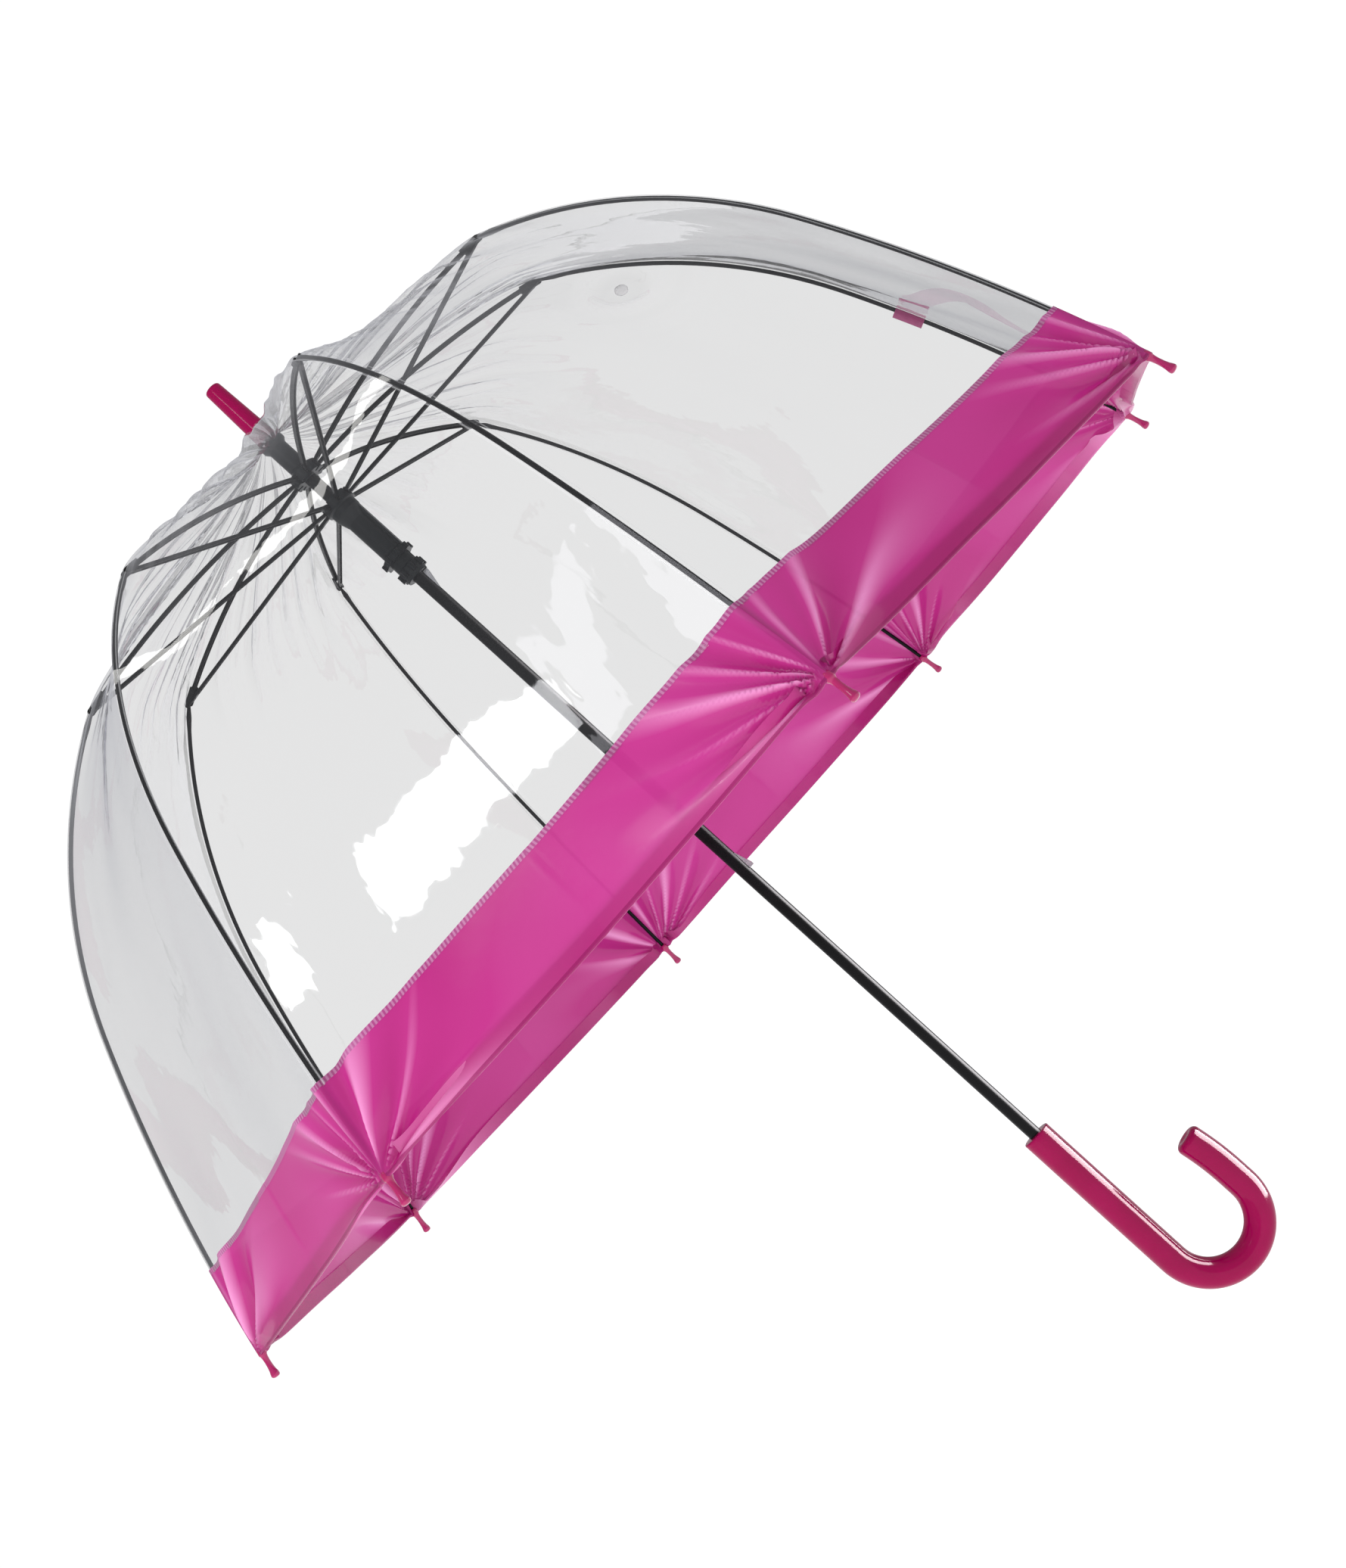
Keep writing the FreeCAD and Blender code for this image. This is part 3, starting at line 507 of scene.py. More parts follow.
# Fine folds of the clear film that run out from the crown and die away past the joints.
def crownFold(gore, across, station):
    bearing = across * wrinkles["crownPitch"] * (0.55 + 0.45 * station)
    seed = gore * wrinkles["goreSeed"]
    crown = noise.noise(Vector((bearing, station * 1.3, seed)))
    fan = noise.noise(Vector((bearing * 2.3, station * 0.8, seed + 31.0))) * 0.5
    return ease(station / 0.25) * (1 - ease((station - 0.8) / 0.5)) * (crown + fan)


# Dimple under the press stud, with ripples in rings round it.
def studFold(gore, across, station):
    if gore != 0:
        return 0.0
    away = math.hypot((across - stud["across"]) * wrinkles["studGoreHalf"],
                      (station - stud["station"]) * upperRod.length)
    ring = math.cos(away / wrinkles["studReach"] * wrinkles["studRings"]) * bellCurve(away, wrinkles["studReach"])
    return wrinkles["studRipple"] * ring - wrinkles["studDimple"] * bellCurve(away, wrinkles["dimpleReach"])


# How far the clear film stands off its taut shape: crown folds, a broad wave, rays at the joints and the stud.
def filmWrinkle(gore, across, station):
    toRib = 1 - abs(across)
    seed = gore * wrinkles["goreSeed"]
    body = noise.noise(Vector((across * wrinkles["bodyPitch"], station * 1.9 + across, seed + 60.0)))
    joined = ease((station - 0.7) / 0.3) * (1 - ease((station - 1.0) / 0.45))
    ray = math.sin(across * wrinkles["jointRayPitch"] + gore) * joined * (1 - toRib) ** 2
    depth = wrinkles["crownDepth"] * crownFold(gore, across, station) + wrinkles["bodyDepth"] * body
    depth += wrinkles["jointRay"] * ray + studFold(gore, across, station)
    return depth * min(1.0, toRib * 6.0)


# Painted highlight (above 0, whitish) and painted shade (below 0, grey) that a fold and the stud's ripples put on
# the film.
def filmFoldLightAndShade(gore, across, station):
    streak = crownFold(gore, across, station) * 1.6
    return streak * min(1.0, (1 - abs(across)) * 8.0) + studFold(gore, across, station) / 0.003


# Pleats of the rim band that fan out from the nearest rib tip: many sharp ones on one side, a few long
# ones on the other. Gives the tight and the broad pleats, each from -1 to 1.
def pleatPattern(gore, across, fromTip, height):
    reach = math.hypot(fromTip, height)
    bearing = math.atan2(height, fromTip)
    seed = gore * wrinkles["bandSeed"] + (5.0 if across > 0 else 0.0)
    wander = 1.5 * noise.noise(Vector((bearing * 3, seed, reach * 12.0)))
    crowd, reachScale = (1.0, 1.0) if across > 0 else (0.52, 1.1)
    phase = (bearing * wrinkles["pleatCount"] * crowd + seed + wander) / 2
    tight = 1.22 - 2.2 * math.sqrt(math.sin(phase) ** 2 + 0.012)
    broad = math.sin(bearing * wrinkles["foldCount"] + seed * 1.7)
    near = min(reach / 0.012, 1.0) * bellCurve(reach, wrinkles["pleatReach"] * reachScale)
    far = min(reach / 0.03, 1.0) * bellCurve(reach, wrinkles["foldReach"])
    return tight * near, broad * far


def bandPleat(gore, across, fromTip, height):
    tight, broad = pleatPattern(gore, across, fromTip, height)
    wave = noise.noise(Vector((across * 2.2, height * 9.0, gore * wrinkles["bandSeed"] + 9.0)))
    depth = wrinkles["pleatDepth"] * tight + wrinkles["foldDepth"] * broad + wrinkles["bandWave"] * wave
    return depth * min(1.0, fromTip / 0.010)


# Grid of one gore between rib `gore` and the next. Across runs from -1 at the first rib to 1 at the next.
def goreGrid(gore, stations, acrosses, lift, folds):
    middleAngle = ribAngle(gore) + halfGore
    grid = np.zeros((len(stations), len(acrosses), 3))
    for r, station in enumerate(stations):
        (radius, height), normal = ribLine(station, lift)
        sag = sagAt(station)
        for c, across in enumerate(acrosses):
            turn = across * halfGore
            taut = radius * math.cos(halfGore) / math.cos(turn)
            push = folds(gore, across, station) - sag * (1 - across**2)
            bearing = middleAngle + turn
            flatR = taut + push * normal[0]
            grid[r, c] = (flatR * math.cos(bearing), flatR * math.sin(bearing), height + push * normal[1])
    return grid


# Unit normals of a grid, turned to face away from the shaft.
def gridNormals(grid):
    alongRow = np.gradient(grid, axis=1)
    alongColumn = np.gradient(grid, axis=0)
    normal = np.cross(alongColumn, alongRow)
    length = np.linalg.norm(normal, axis=2, keepdims=True)
    normal /= np.maximum(length, 1e-12)
    outward = grid * np.array([1.0, 1.0, 0.0]) + np.array([0.0, 0.0, 0.2])
    if (normal * outward).sum() < 0:
        normal = -normal
    return normal


def creaseGrid(gore, stations, acrosses, crease):
    return np.array([[crease(gore, across, station) for across in acrosses] for station in stations])


# The two halves of a gore, each with the rib it hangs on: (side, rib, columns, name of the half).
def goreHalves(gore, halfCount):
    return (
        (1, gore, slice(0, halfCount), "left"),
        (-1, (gore + 1) % ribCount, slice(halfCount - 1, None), "right"),
    )


# Share of its width that each stretch of film keeps when the canopy is closed.
closed = {"joint": 0.19, "middle": 0.10, "rim": 0.08}


# The direction in which a half gore gathers to its rib: across the film, square to the rib's line there.
def gatherDirection(index, side, stationA, stationB):
    (r0, z0), _ = ribLine(stationA, canopy["filmLift"])
    (r1, z1), _ = ribLine(stationB, canopy["filmLift"])
    line = Vector((r1 - r0, 0, z1 - z0)).normalized()
    chord = Vector((-math.sin(halfGore), side * math.cos(halfGore), 0))
    chord = (chord - chord.dot(line) * line).normalized()
    anchor = Vector(((r0 + r1) / 2, 0, (z0 + z1) / 2))
    turn = aroundShaft(ribAngle(index)).to_3x3()
    return turn @ chord, turn @ anchor


# One half of a gore's film between two stations.
def sheetPiece(name, grid, normals, material, values, index, side, stations, body, keep):
    rows, columns = grid.shape[:2]
    piece = meshObject(name, grid.reshape(-1, 3), gridFaces(rows, columns, flip=True), material)
    piece.data.normals_split_custom_set_from_vertices([tuple(n) for n in normals.reshape(-1, 3)])
    for key, data in values.items():
        layer = piece.data.attributes.new(key, "FLOAT", "POINT")
        layer.data.foreach_set("value", data.reshape(-1).astype(np.float32))
    if keep is None:
        # film at the crown stays where it is built and follows no part
        top, foot = (ribLine(station, canopy["filmLift"])[0] for station in stations)
        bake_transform(piece)
    else:
        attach(piece, body)
        direction, anchor = gatherDirection(index, side, *stations)
        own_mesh(piece)
    return piece


# Distance of each point from its rib, measured along the film.
def fromRibDistance(grid, mirrored):
    flat = np.linalg.norm(np.diff(grid, axis=1), axis=2)
    run = np.concatenate([np.zeros((grid.shape[0], 1)), np.cumsum(flat, axis=1)], axis=1)
    return run[:, -1:] - run if mirrored else run


# Clear film. Each section is (first station, last station, rows, part of the frame it follows).
filmMesh = {
    "halfColumns": 31,
    "sections": (
        (0.0, 0.26, 10, "crown"),
        (0.26, 1.0, 22, "rib"),
        (1.0, 2.0, 34, "rod_upper"),
        (2.0, 3.0, 18, "rod_lower"),
    ),
}

bandTopStation = 2 + lowerRod.heightShare(canopy["bandHeight"], canopy["bandLift"])
filmEndStation = 2 + lowerRod.heightShare(canopy["bandHeight"] - canopy["bandLap"], canopy["filmLift"])
keeps = {"crown": None, "rib": closed["joint"], "rod_upper": closed["middle"], "rod_lower": closed["rim"]}

halfColumns = filmMesh["halfColumns"]
acrosses = np.concatenate([-1 + np.linspace(0, 1, halfColumns), np.linspace(0, 1, halfColumns)[1:]])
for gore in range(ribCount):
    stations, cuts = [], [0]
    for start, end, count, _ in filmMesh["sections"]:
        end = min(end, filmEndStation)
        stations += list(np.linspace(start, end, count))[(1 if stations else 0):]
        cuts.append(len(stations) - 1)
    grid = goreGrid(gore, stations, acrosses, canopy["filmLift"], filmWrinkle)
    normals = gridNormals(grid)
    # painted light and shade of the creases, kept on the film as its fold value
    crease = creaseGrid(gore, stations, acrosses, filmFoldLightAndShade)
    for k, (start, end, _, bodyName) in enumerate(filmMesh["sections"]):
        rows = slice(cuts[k], cuts[k + 1] + 1)
        for side, index, columns, half in goreHalves(gore, halfColumns):
            part, partNormals = grid[rows, columns], normals[rows, columns]
            values = {"fromRib": fromRibDistance(part, side < 0), "fold": crease[rows, columns]}
            piece = sheetPiece(f"clearFilm_{bodyName}_{index + 1}_{half}", part, partNormals, clearFilmMaterial,
                               values, index, side, (start, min(end, filmEndStation)),
                               f"{bodyName.replace('crown', 'rib')}_{index + 1}", keeps[bodyName])
            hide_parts("canopy_gores")
print("clear film made")


# Pink rim band with its rolled hem.
band = {"halfColumns": 72, "crowding": 1.5, "rows": 34, "hemRadius": 0.0011, "hemTurn": 8, "hemUp": 0.009}

rimLength = 2 * canopy["tip"][0] * math.sin(halfGore)


# Distances from the nearest rib tip, along the rim and up from it.
def fromNearestTip(across, station):
    return (1 - abs(across)) * rimLength / 2, (3.0 - station) * lowerRod.length


def bandFold(gore, across, station):
    return bandPleat(gore, across, *fromNearestTip(across, station))


# Painted highlight (above 0) on the ridges of the pleats and painted shade (below 0) in their valleys.
def bandPleatLightAndShade(gore, across, station):
    fromTip, height = fromNearestTip(across, station)
    tight, broad = pleatPattern(gore, across, fromTip, height)
    return (tight + 0.35 * broad) * min(1.0, fromTip / 0.006)


# the columns crowd towards the rib tips, where the pleats are finest
spread = np.linspace(0, 1, band["halfColumns"]) ** band["crowding"]
bandAcross = np.concatenate([-1 + spread, (1 - spread[::-1])[1:]])
stations = list(np.linspace(bandTopStation, 3.0, band["rows"]))
for gore in range(ribCount):
    grid = goreGrid(gore, stations, bandAcross, canopy["bandLift"], bandFold)
    normals = gridNormals(grid)
    # the hem rolls inwards round the rim and runs a little way back up
    down = grid[-1] - grid[-2]
    down /= np.linalg.norm(down, axis=1, keepdims=True)
    out = normals[-1]
    hemRows, hemNormals = [], []
    for k in range(1, band["hemTurn"] + 1):
        turn = math.pi * k / band["hemTurn"]
        hemRows.append(grid[-1] + band["hemRadius"] * (math.sin(turn) * down - (1 - math.cos(turn)) * out))
        hemNormals.append(math.cos(turn) * out + math.sin(turn) * down)
    hemRows.append(hemRows[-1] - down * band["hemUp"])
    hemNormals.append(-out)
    full = np.concatenate([grid, np.array(hemRows)])
    fullNormals = np.concatenate([normals, np.array(hemNormals)])
    step = np.linalg.norm(np.diff(full, axis=0), axis=2)
    fromTop = np.concatenate([np.zeros((1, full.shape[1])), np.cumsum(step, axis=0)])
    fromRim = fromTop - fromTop[len(stations) - 1]
    # painted light and shade of the pleats, kept on the band as its fold value
    crease = creaseGrid(gore, stations, bandAcross, bandPleatLightAndShade)
    crease = np.concatenate([crease, np.repeat(crease[-1:], len(hemRows), axis=0)])
    for side, index, columns, half in goreHalves(gore, band["halfColumns"]):
        part, partNormals = full[:, columns], fullNormals[:, columns]
        values = {"fromTop": fromTop[:, columns], "alongRim": fromRibDistance(part, side < 0),
                  "fromRim": fromRim[:, columns], "fold": crease[:, columns]}
        piece = sheetPiece(f"rimBand_{index + 1}_{half}", part, partNormals, pinkFilmMaterial, values, index,
                           side, (bandTopStation, 3.0), f"rod_lower_{index + 1}", closed["rim"])
        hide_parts("canopy_trim")
print("rim band made")


# Glass-fibre rods.
rod = {"segments": 14, "stations": 44, "crimpLength": 0.017, "crimpRadius": 0.0020, "tongueLength": 0.008,
       "tongueHalf": (0.0006, 0.0014), "bendHalf": 0.055}

for index in range(ribCount):
    turnToRib = aroundShaft(ribAngle(index))
    rings = []
    for station in np.linspace(1.0, 3.0, rod["stations"]):
        (radius, height), normal = ribLine(station, 0.0)
        fromJoint = (station - 1.0) * upperRod.length
        flat = ease((fromJoint - rod["tongueLength"] + 0.003) / 0.004)
        size = rod["crimpRadius"] if fromJoint < rod["crimpLength"] else canopy["rodRadius"]
        wide, deep = (thin + (size - thin) * flat for thin in rod["tongueHalf"])
        ring = []
        for k in range(rod["segments"]):
            turn = 2 * math.pi * k / rod["segments"]
            across, out = wide * math.sin(turn), deep * math.cos(turn)
            ring.append(turnToRib @ Vector((radius + out * normal[0], across, height + out * normal[1])))
        rings.append(ring)
    piece = loft(f"ribRod_{index + 1}", rings, blackRod)
    for share in (-1, 1):
        station = 2 + share * rod["bendHalf"] / upperRod.length
        (radius, height), _ = ribLine(station, 0.0)
    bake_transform(piece)
    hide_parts(f"rod_upper_{index + 1}", f"rod_lower_{index + 1}")
print("rods made")


# Moulded rib tips, turned from (radius, distance past the rim) steps.
tipShape = {
    "profile": (
        (0.0016, -0.0040), (0.0026, -0.0036), (0.0029, -0.0022), (0.0029, 0.0010), (0.0024, 0.0018),
        (0.0021, 0.0030), (0.0019, 0.0060), (0.0020, 0.0095), (0.0023, 0.0125), (0.0028, 0.0145),
        (0.0030, 0.0158), (0.0028, 0.0168), (0.0021, 0.0174), (0.0010, 0.0177),
    ),
}

(tipRadius, tipHeight), tipNormal = ribLine(3.0, 0.0)
tipAlong = Vector((tipNormal[1], 0, -tipNormal[0]))
for index in range(ribCount):
    turnToRib = aroundShaft(ribAngle(index))
    start = turnToRib @ Vector((tipRadius, 0, tipHeight))
    piece = turned(f"ribTip_{index + 1}", tipShape["profile"], start, turnToRib.to_3x3() @ tipAlong, tipGloss, 24)
    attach(piece, f"rod_lower_{index + 1}")
    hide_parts(f"rib_tip_{index + 1}")
print("tips made")


# Crook handle.
handle = {
    "radius": 0.01075,
    "top": 0.060,
    "hookHeight": -0.0624,
    "hookRadius": 0.0345,
    "leg": 0.010,
    "curlRadius": 0.200,
    "curlAngle": 11.0,
    "edge": 0.0012,
    "endEdge": 0.0042,
    "dimple": 0.0009,
    "segments": 56,
}


# Centre line as (point, direction) pairs from the top of the grip to the end of the hook.
def handleLine():
    steps = []
    for share in np.linspace(0, 1, 10):
        height = handle["top"] + (handle["hookHeight"] - handle["top"]) * share
        steps.append((Vector((0, 0, height)), Vector((0, 0, -1))))
    for share in np.linspace(0, 1, 61)[1:]:
        turn = math.pi + math.pi * share
        spot = Vector((handle["hookRadius"] * (1 + math.cos(turn)), 0,
                       handle["hookHeight"] + handle["hookRadius"] * math.sin(turn)))
        steps.append((spot, Vector((-math.sin(turn), 0, math.cos(turn)))))
    legX, legTop = 2 * handle["hookRadius"], handle["hookHeight"] + handle["leg"]
    steps.append((Vector((legX, 0, legTop)), Vector((0, 0, 1))))
    for share in np.linspace(0, 1, 9)[1:]:
        turn = math.radians(handle["curlAngle"]) * share
        spot = Vector((legX - handle["curlRadius"] * (1 - math.cos(turn)), 0,
                       legTop + handle["curlRadius"] * math.sin(turn)))
        steps.append((spot, Vector((-math.sin(turn), 0, math.cos(turn)))))
    return steps


def handleRing(spot, along, radius):
    side = Vector((0, 1, 0))
    out = side.cross(along).normalized()
    turns = [2 * math.pi * k / handle["segments"] for k in range(handle["segments"])]
    return [spot + radius * (math.cos(t) * out + math.sin(t) * side) for t in turns]


line = handleLine()
rings = []
topSpot, topAlong = line[0]
for share in np.linspace(0, 1, 6):
    turn = share * math.pi / 2
    radius = handle["radius"] - handle["edge"] * (1 - math.sin(turn))
    rings.append(handleRing(topSpot + topAlong * handle["edge"] * (1 - math.cos(turn)), topAlong, radius))
for spot, along in line[1:-1]:
    rings.append(handleRing(spot, along, handle["radius"]))
endSpot, endAlong = line[-1]
for share in np.linspace(0, 1, 9):
    turn = share * math.pi / 2
    radius = handle["radius"] - handle["endEdge"] * (1 - math.cos(turn))
    rings.append(handleRing(endSpot + endAlong * handle["endEdge"] * (math.sin(turn) - 1), endAlong, radius))
for share, depth in ((0.85, 0.0), (0.6, 0.5), (0.3, 1.0)):
    radius = (handle["radius"] - handle["endEdge"]) * share
    rings.append(handleRing(endSpot - endAlong * handle["dimple"] * depth, endAlong, radius))
crook = loft("crookHandle", rings, handleGloss)
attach(crook, "shaft")
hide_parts("handle")
print("handle made")


# Ferrule at the top of the shaft.
ferrule = {"foot": 0.773, "head": 0.828, "footRadius": 0.0080, "headRadius": 0.0063, "edge": 0.0018}

height = ferrule["head"] - ferrule["foot"]
profile = [(0.0046, 0.0), (0.0072, 0.0), (0.00785, 0.0004), (ferrule["footRadius"], 0.0010)]
for share in np.linspace(0.06, 0.92, 8):
    profile.append((ferrule["footRadius"] + (ferrule["headRadius"] - ferrule["footRadius"]) * share, height * share))
for share in np.linspace(0, 1, 7):
    turn = share * math.pi / 2
    profile.append((ferrule["headRadius"] - ferrule["edge"] * (1 - math.cos(turn)),
                    height - ferrule["edge"] * (1 - math.sin(turn))))
profile += [(0.0030, height - 0.00005), (0.0012, height - 0.0003)]
cap = turned("ferruleCap", profile, (0, 0, ferrule["foot"]), (0, 0, 1), handleGloss, 48)
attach(cap, "shaft")
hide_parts("ferrule")
print("ferrule made")


# Closing strap: a sleeve on the first rod and a ribbon that droops over the last gore.
strap = {
    "sleeveHeight": 0.509,
    "sleeveLength": 0.021,
    "sleeveRadius": (0.0024, 0.0040),
    "sleeveDrop": 0.0022,
    "sleeveSegments": 20,
    "ribbonWidth": 0.021,
    "ribbonColumns": 7,
    "ribbonRows": 46,
    "ribbonPath": ((0.985, 0.507), (0.60, 0.503), (0.22, 0.494), (-0.12, 0.480), (-0.31, 0.461), (-0.20, 0.440),
                   (0.0, 0.414)),
    "offFilm": 0.0012,
    "curl": 0.0014,
}


# Point and outward normal of the clear film, averaged over a small patch.
def onGore(gore, across, station, lift, reach):
    patch = goreGrid(gore, [station - reach, station + reach], [across - reach, across + reach], lift, filmWrinkle)
    return Vector(patch.mean(axis=(0, 1))), Vector(gridNormals(patch)[0, 0])


# Smooth line through the given corners.
def smoothPath(corners, count):
    corners = [np.array(c, dtype=float) for c in corners]
    ends = [2 * corners[0] - corners[1], *corners, 2 * corners[-1] - corners[-2]]
    path = []
    for share in np.linspace(0, len(corners) - 1, count):
        k = min(int(share), len(corners) - 2)
        t = share - k
        a, b, c, d = ends[k:k + 4]
        path.append((2 * b + (c - a) * t + (2 * a - 5 * b + 4 * c - d) * t**2 + (3 * b - a - 3 * c + d) * t**3) / 2)
    return path


# the ribbon's path is given as (share across the gore, height)
path = [onGore(ribCount - 1, across, 2 + lowerRod.heightShare(height, canopy["filmLift"]),
               canopy["filmLift"] + strap["offFilm"], 0.01)
        for across, height in smoothPath(strap["ribbonPath"], strap["ribbonRows"])]
ribbon = np.zeros((len(path), strap["ribbonColumns"], 3))
for k, (spot, normal) in enumerate(path):
    ahead = path[min(k + 1, len(path) - 1)][0] - path[max(k - 1, 0)][0]
    across = normal.cross(ahead).normalized()
    for c, share in enumerate(np.linspace(-1, 1, strap["ribbonColumns"])):
        bow = strap["curl"] * (share**2 - 0.5 + 0.6 * math.sin(k * 0.32 + share))
        ribbon[k, c] = spot + across * (share * strap["ribbonWidth"] / 2) + normal * (bow + strap["curl"])
ribbonFaces = gridFaces(len(path), strap["ribbonColumns"])
piece = meshObject("strapRibbon", ribbon.reshape(-1, 3), ribbonFaces, strapFilmMaterial)
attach(piece, "rod_lower_1")
direction, anchor = gatherDirection(0, -1, 2.0, 3.0)
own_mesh(piece)
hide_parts("tie_strap")

# the sleeve wraps the rod as an oval that hangs a little inwards
rings = []
turnToRib = aroundShaft(ribAngle(0))
for share in np.linspace(-0.5, 0.5, 9):
    z = strap["sleeveHeight"] + share * strap["sleeveLength"]
    (radius, height), normal = lowerRod(lowerRod.heightShare(z, 0.0), 0.0)
    ring = []
    for k in range(strap["sleeveSegments"]):
        turn = 2 * math.pi * k / strap["sleeveSegments"]
        wide, deep = strap["sleeveRadius"]
        inwards = deep * math.cos(turn) - strap["sleeveDrop"]
        crease = 1 + 0.05 * math.sin(share * 30 + k)
        ring.append(turnToRib @ Vector((radius + inwards * normal[0], wide * crease * math.sin(turn),
                                        height + inwards * normal[1])))
    rings.append(ring)
piece = loft("strapSleeve", rings, sleeveMaterial, closeEnds=False)
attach(piece, "rod_lower_1")
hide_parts("tie_strap")

# clear press stud on the first gore, close to the first rib
studPlace, studAxis = onGore(0, stud["across"], stud["station"], canopy["filmLift"], 0.02)
studSteps = [(stud["radius"] * wide, stud["height"] * high) for wide, high in stud["profile"]]
piece = turned("pressStud", studSteps, studPlace, studAxis, studGloss, 28)
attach(piece, "rod_upper_1")
direction, anchor = gatherDirection(0, 1, 1.0, 2.0)
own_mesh(piece)
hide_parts("tie_strap")
print("closing strap made")


# CAD pieces that keep their shape, each with its finish.
nodeFinish = {
    "rib_channel": blackPaint, "joint_clip": blackPaint, "stretcher": blackPaint, "shaft_tube": blackPaint,
    "top_notch": blackMoulding, "runner_wire": brightSteel, "notch_wire": brightSteel, "runner": blackMoulding,
    "top_catch": brightSteel, "bottom_catch": brightSteel,
}
for name, node in frame["nodes"].items():
    kind = max((k for k in nodeFinish if name.startswith(k)), key=len, default=None)
    if kind is None:
        continue
    for slot in node.material_slots:
        slot.material = nodeFinish[kind]
print("CAD pieces finished")


# Floor, light and camera.
studio = {
    "floorHeight": -0.75,
    "floorColour": (0.93, 0.93, 0.93),
    "backdropStrength": 1.04,
    "roomStrength": 0.56,
    "floorLight": 2.35,
}

floorMaterial, tree = newMaterial("paleFloor", opaque(studio["floorColour"]))
speck = noiseAt(tree, 3.0, 2.0, 0.5)
tone = ramp(tree, speck, [(0.3, (0.96, 0.96, 0.96)), (0.7, (0.985, 0.985, 0.985))])
outputOf(tree, addNode(tree, "ShaderNodeBsdfPrincipled", {
    "Base Color": tone, "Roughness": 0.9, "Specular IOR Level": 0.0,
}).outputs[0])
floor = meshObject("floor", [(-60, -60, 0), (60, -60, 0), (60, 60, 0), (-60, 60, 0)], [(0, 1, 2, 3)], floorMaterial)
floor.location.z = studio["floorHeight"]
floor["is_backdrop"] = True

world = bpy.data.worlds.new("studioWorld")
world.use_nodes = True
bpy.context.scene.world = world
tree = world.node_tree
tree.nodes.clear()
backdrop = addNode(tree, "ShaderNodeBackground", {"Color": (1, 1, 1, 1), "Strength": studio["backdropStrength"]})
room = addNode(tree, "ShaderNodeBackground", {"Color": (0.96, 0.97, 1, 1), "Strength": studio["roomStrength"]})
seen = addNode(tree, "ShaderNodeLightPath").outputs["Is Camera Ray"]
addNode(tree, "ShaderNodeOutputWorld", {"Surface": mixShader(tree, seen, room.outputs[0], backdrop.outputs[0])})

# an even light on the floor alone keeps it as pale as the backdrop
floorSet = bpy.data.collections.new("floorOnly")
floorSet.objects.link(floor)
wash = bpy.data.lights.new("floorWash", "SUN")
wash.energy = studio["floorLight"]
wash.use_shadow = False
washObject = bpy.data.objects.new("floorWash", wash)
bpy.context.scene.collection.objects.link(washObject)
washObject.light_linking.receiver_collection = floorSet

cameraView = {
    "place": (0.0095, -1.486, 0.2790),
    "right": (0.6705, 0.0595, -0.7395),
    "up": (0.7415, -0.0555, 0.6686),
    "lens": 49.9,
    "sensor": 36.0,
}

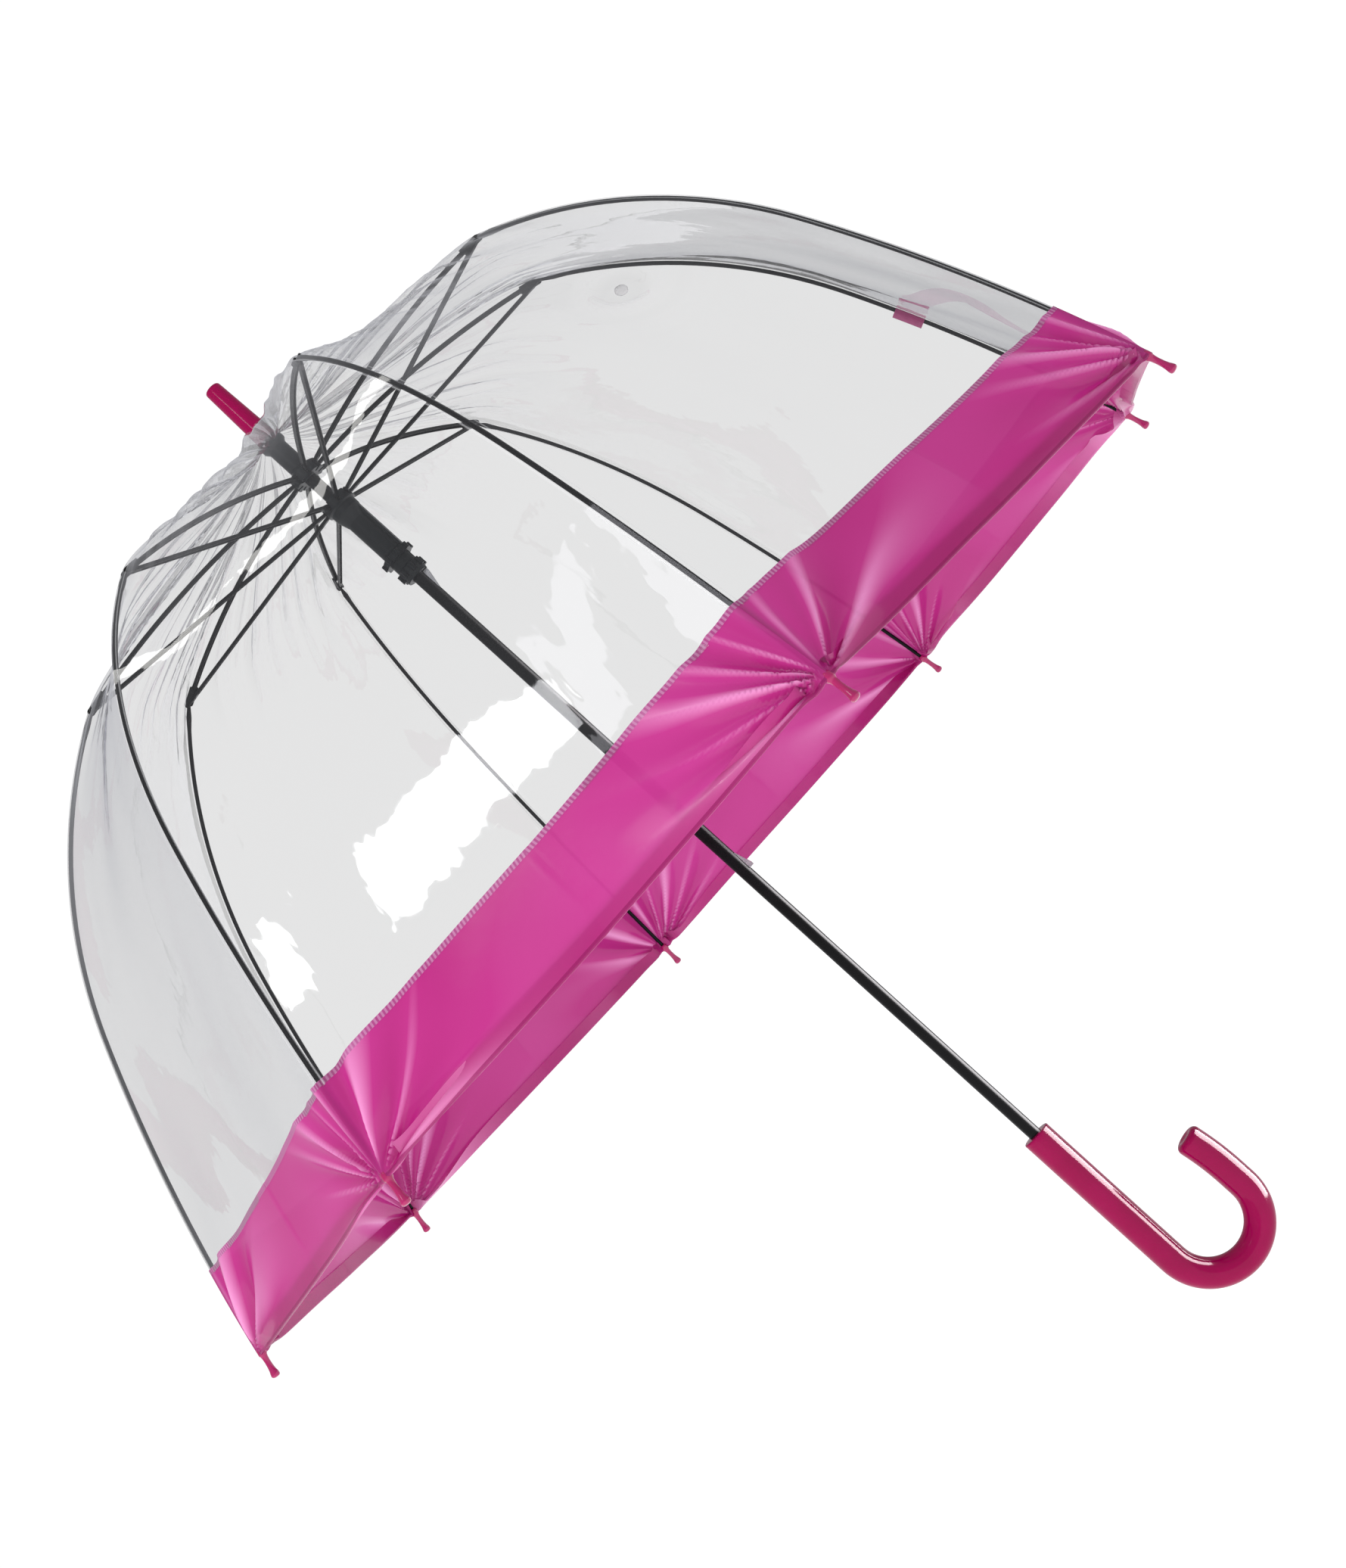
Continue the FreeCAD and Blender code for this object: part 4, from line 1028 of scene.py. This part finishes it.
# Each softbox stands `away` metres from its `aim` spot, in the `toward` direction, and faces that spot.
softboxes = {
    "frontBox": {"aim": (-0.079, -0.371, 0.449), "toward": (-0.336, -0.655, 0.677), "away": 1.3,
                 "size": (0.15, 0.16), "radiance": 11.0, "colour": (1.0, 1.0, 1.0), "lights": "all"},
    "frontWindow": {"aim": (0.028, -0.396, 0.440), "toward": (-0.300, -0.672, 0.674), "away": 1.3,
                    "size": (0.14, 0.36), "radiance": 2.6, "colour": (0.97, 0.96, 1.0), "lights": "all"},
    "overheadBox": {"aim": (-0.137, -0.265, 0.650), "toward": (-0.141, 0.103, 0.985), "away": 1.2,
                    "size": (0.06, 0.20), "radiance": 5.5, "colour": (1.0, 0.99, 0.93), "lights": "all"},
    "gripStrip": {"aim": (0.03, 0.0, -0.03), "toward": (1.0, -0.06, -0.10), "away": 1.1,
                  "size": (0.95, 1.7), "radiance": 38.0, "colour": (1.0, 0.97, 0.99), "lights": "grip",
                  "hiddenFrom": "visible_diffuse"},
    "fillBox": {"aim": (0.0, 0.0, 0.35), "toward": (-0.60, -0.78, 0.02), "away": 2.2,
                "size": (1.4, 1.4), "radiance": 3.6, "colour": (1.0, 0.98, 1.0), "lights": "all",
                "hiddenFrom": "visible_glossy"},
}

right = Vector(cameraView["right"]).normalized()
up = Vector(cameraView["up"])
up = (up - up.dot(right) * right).normalized()
back = right.cross(up)

# the lamps light the umbrella alone, and one of them only its handle, ferrule and shaft
lit = {"all": bpy.data.collections.new("umbrellaOnly"), "grip": bpy.data.collections.new("gripOnly")}
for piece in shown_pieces():
    lit["all"].objects.link(piece)
    if piece.name.startswith(("crookHandle", "ferruleCap", "shaft_tube")):
        lit["grip"].objects.link(piece)
for name, box in softboxes.items():
    lamp = bpy.data.lights.new(name, "AREA")
    lamp.shape = "RECTANGLE"
    lamp.size, lamp.size_y = box["size"]
    lamp.energy = box["radiance"] * math.pi * box["size"][0] * box["size"][1]
    lamp.color = box["colour"]
    lampObject = bpy.data.objects.new(name, lamp)
    target = Vector(box["aim"])
    spot = target + Vector(box["toward"]).normalized() * box["away"]
    lampObject.location = spot
    lampObject.rotation_mode = "QUATERNION"
    lampObject.rotation_quaternion = (target - spot).to_track_quat("-Z", "Y")
    bpy.context.scene.collection.objects.link(lampObject)
    lampObject.light_linking.receiver_collection = lit[box["lights"]]
    if "hiddenFrom" in box:
        setattr(lampObject, box["hiddenFrom"], False)

cameraData = bpy.data.cameras.new("camera")
cameraData.lens = cameraView["lens"]
cameraData.sensor_width = cameraView["sensor"]
camera = bpy.data.objects.new("camera", cameraData)
bpy.context.scene.collection.objects.link(camera)
pose = Matrix((right, up, back)).transposed().to_4x4()
pose.translation = Vector(cameraView["place"])
camera.matrix_world = pose
bpy.context.scene.camera = camera
bpy.context.scene.view_settings.view_transform = "Standard"
print("studio ready")
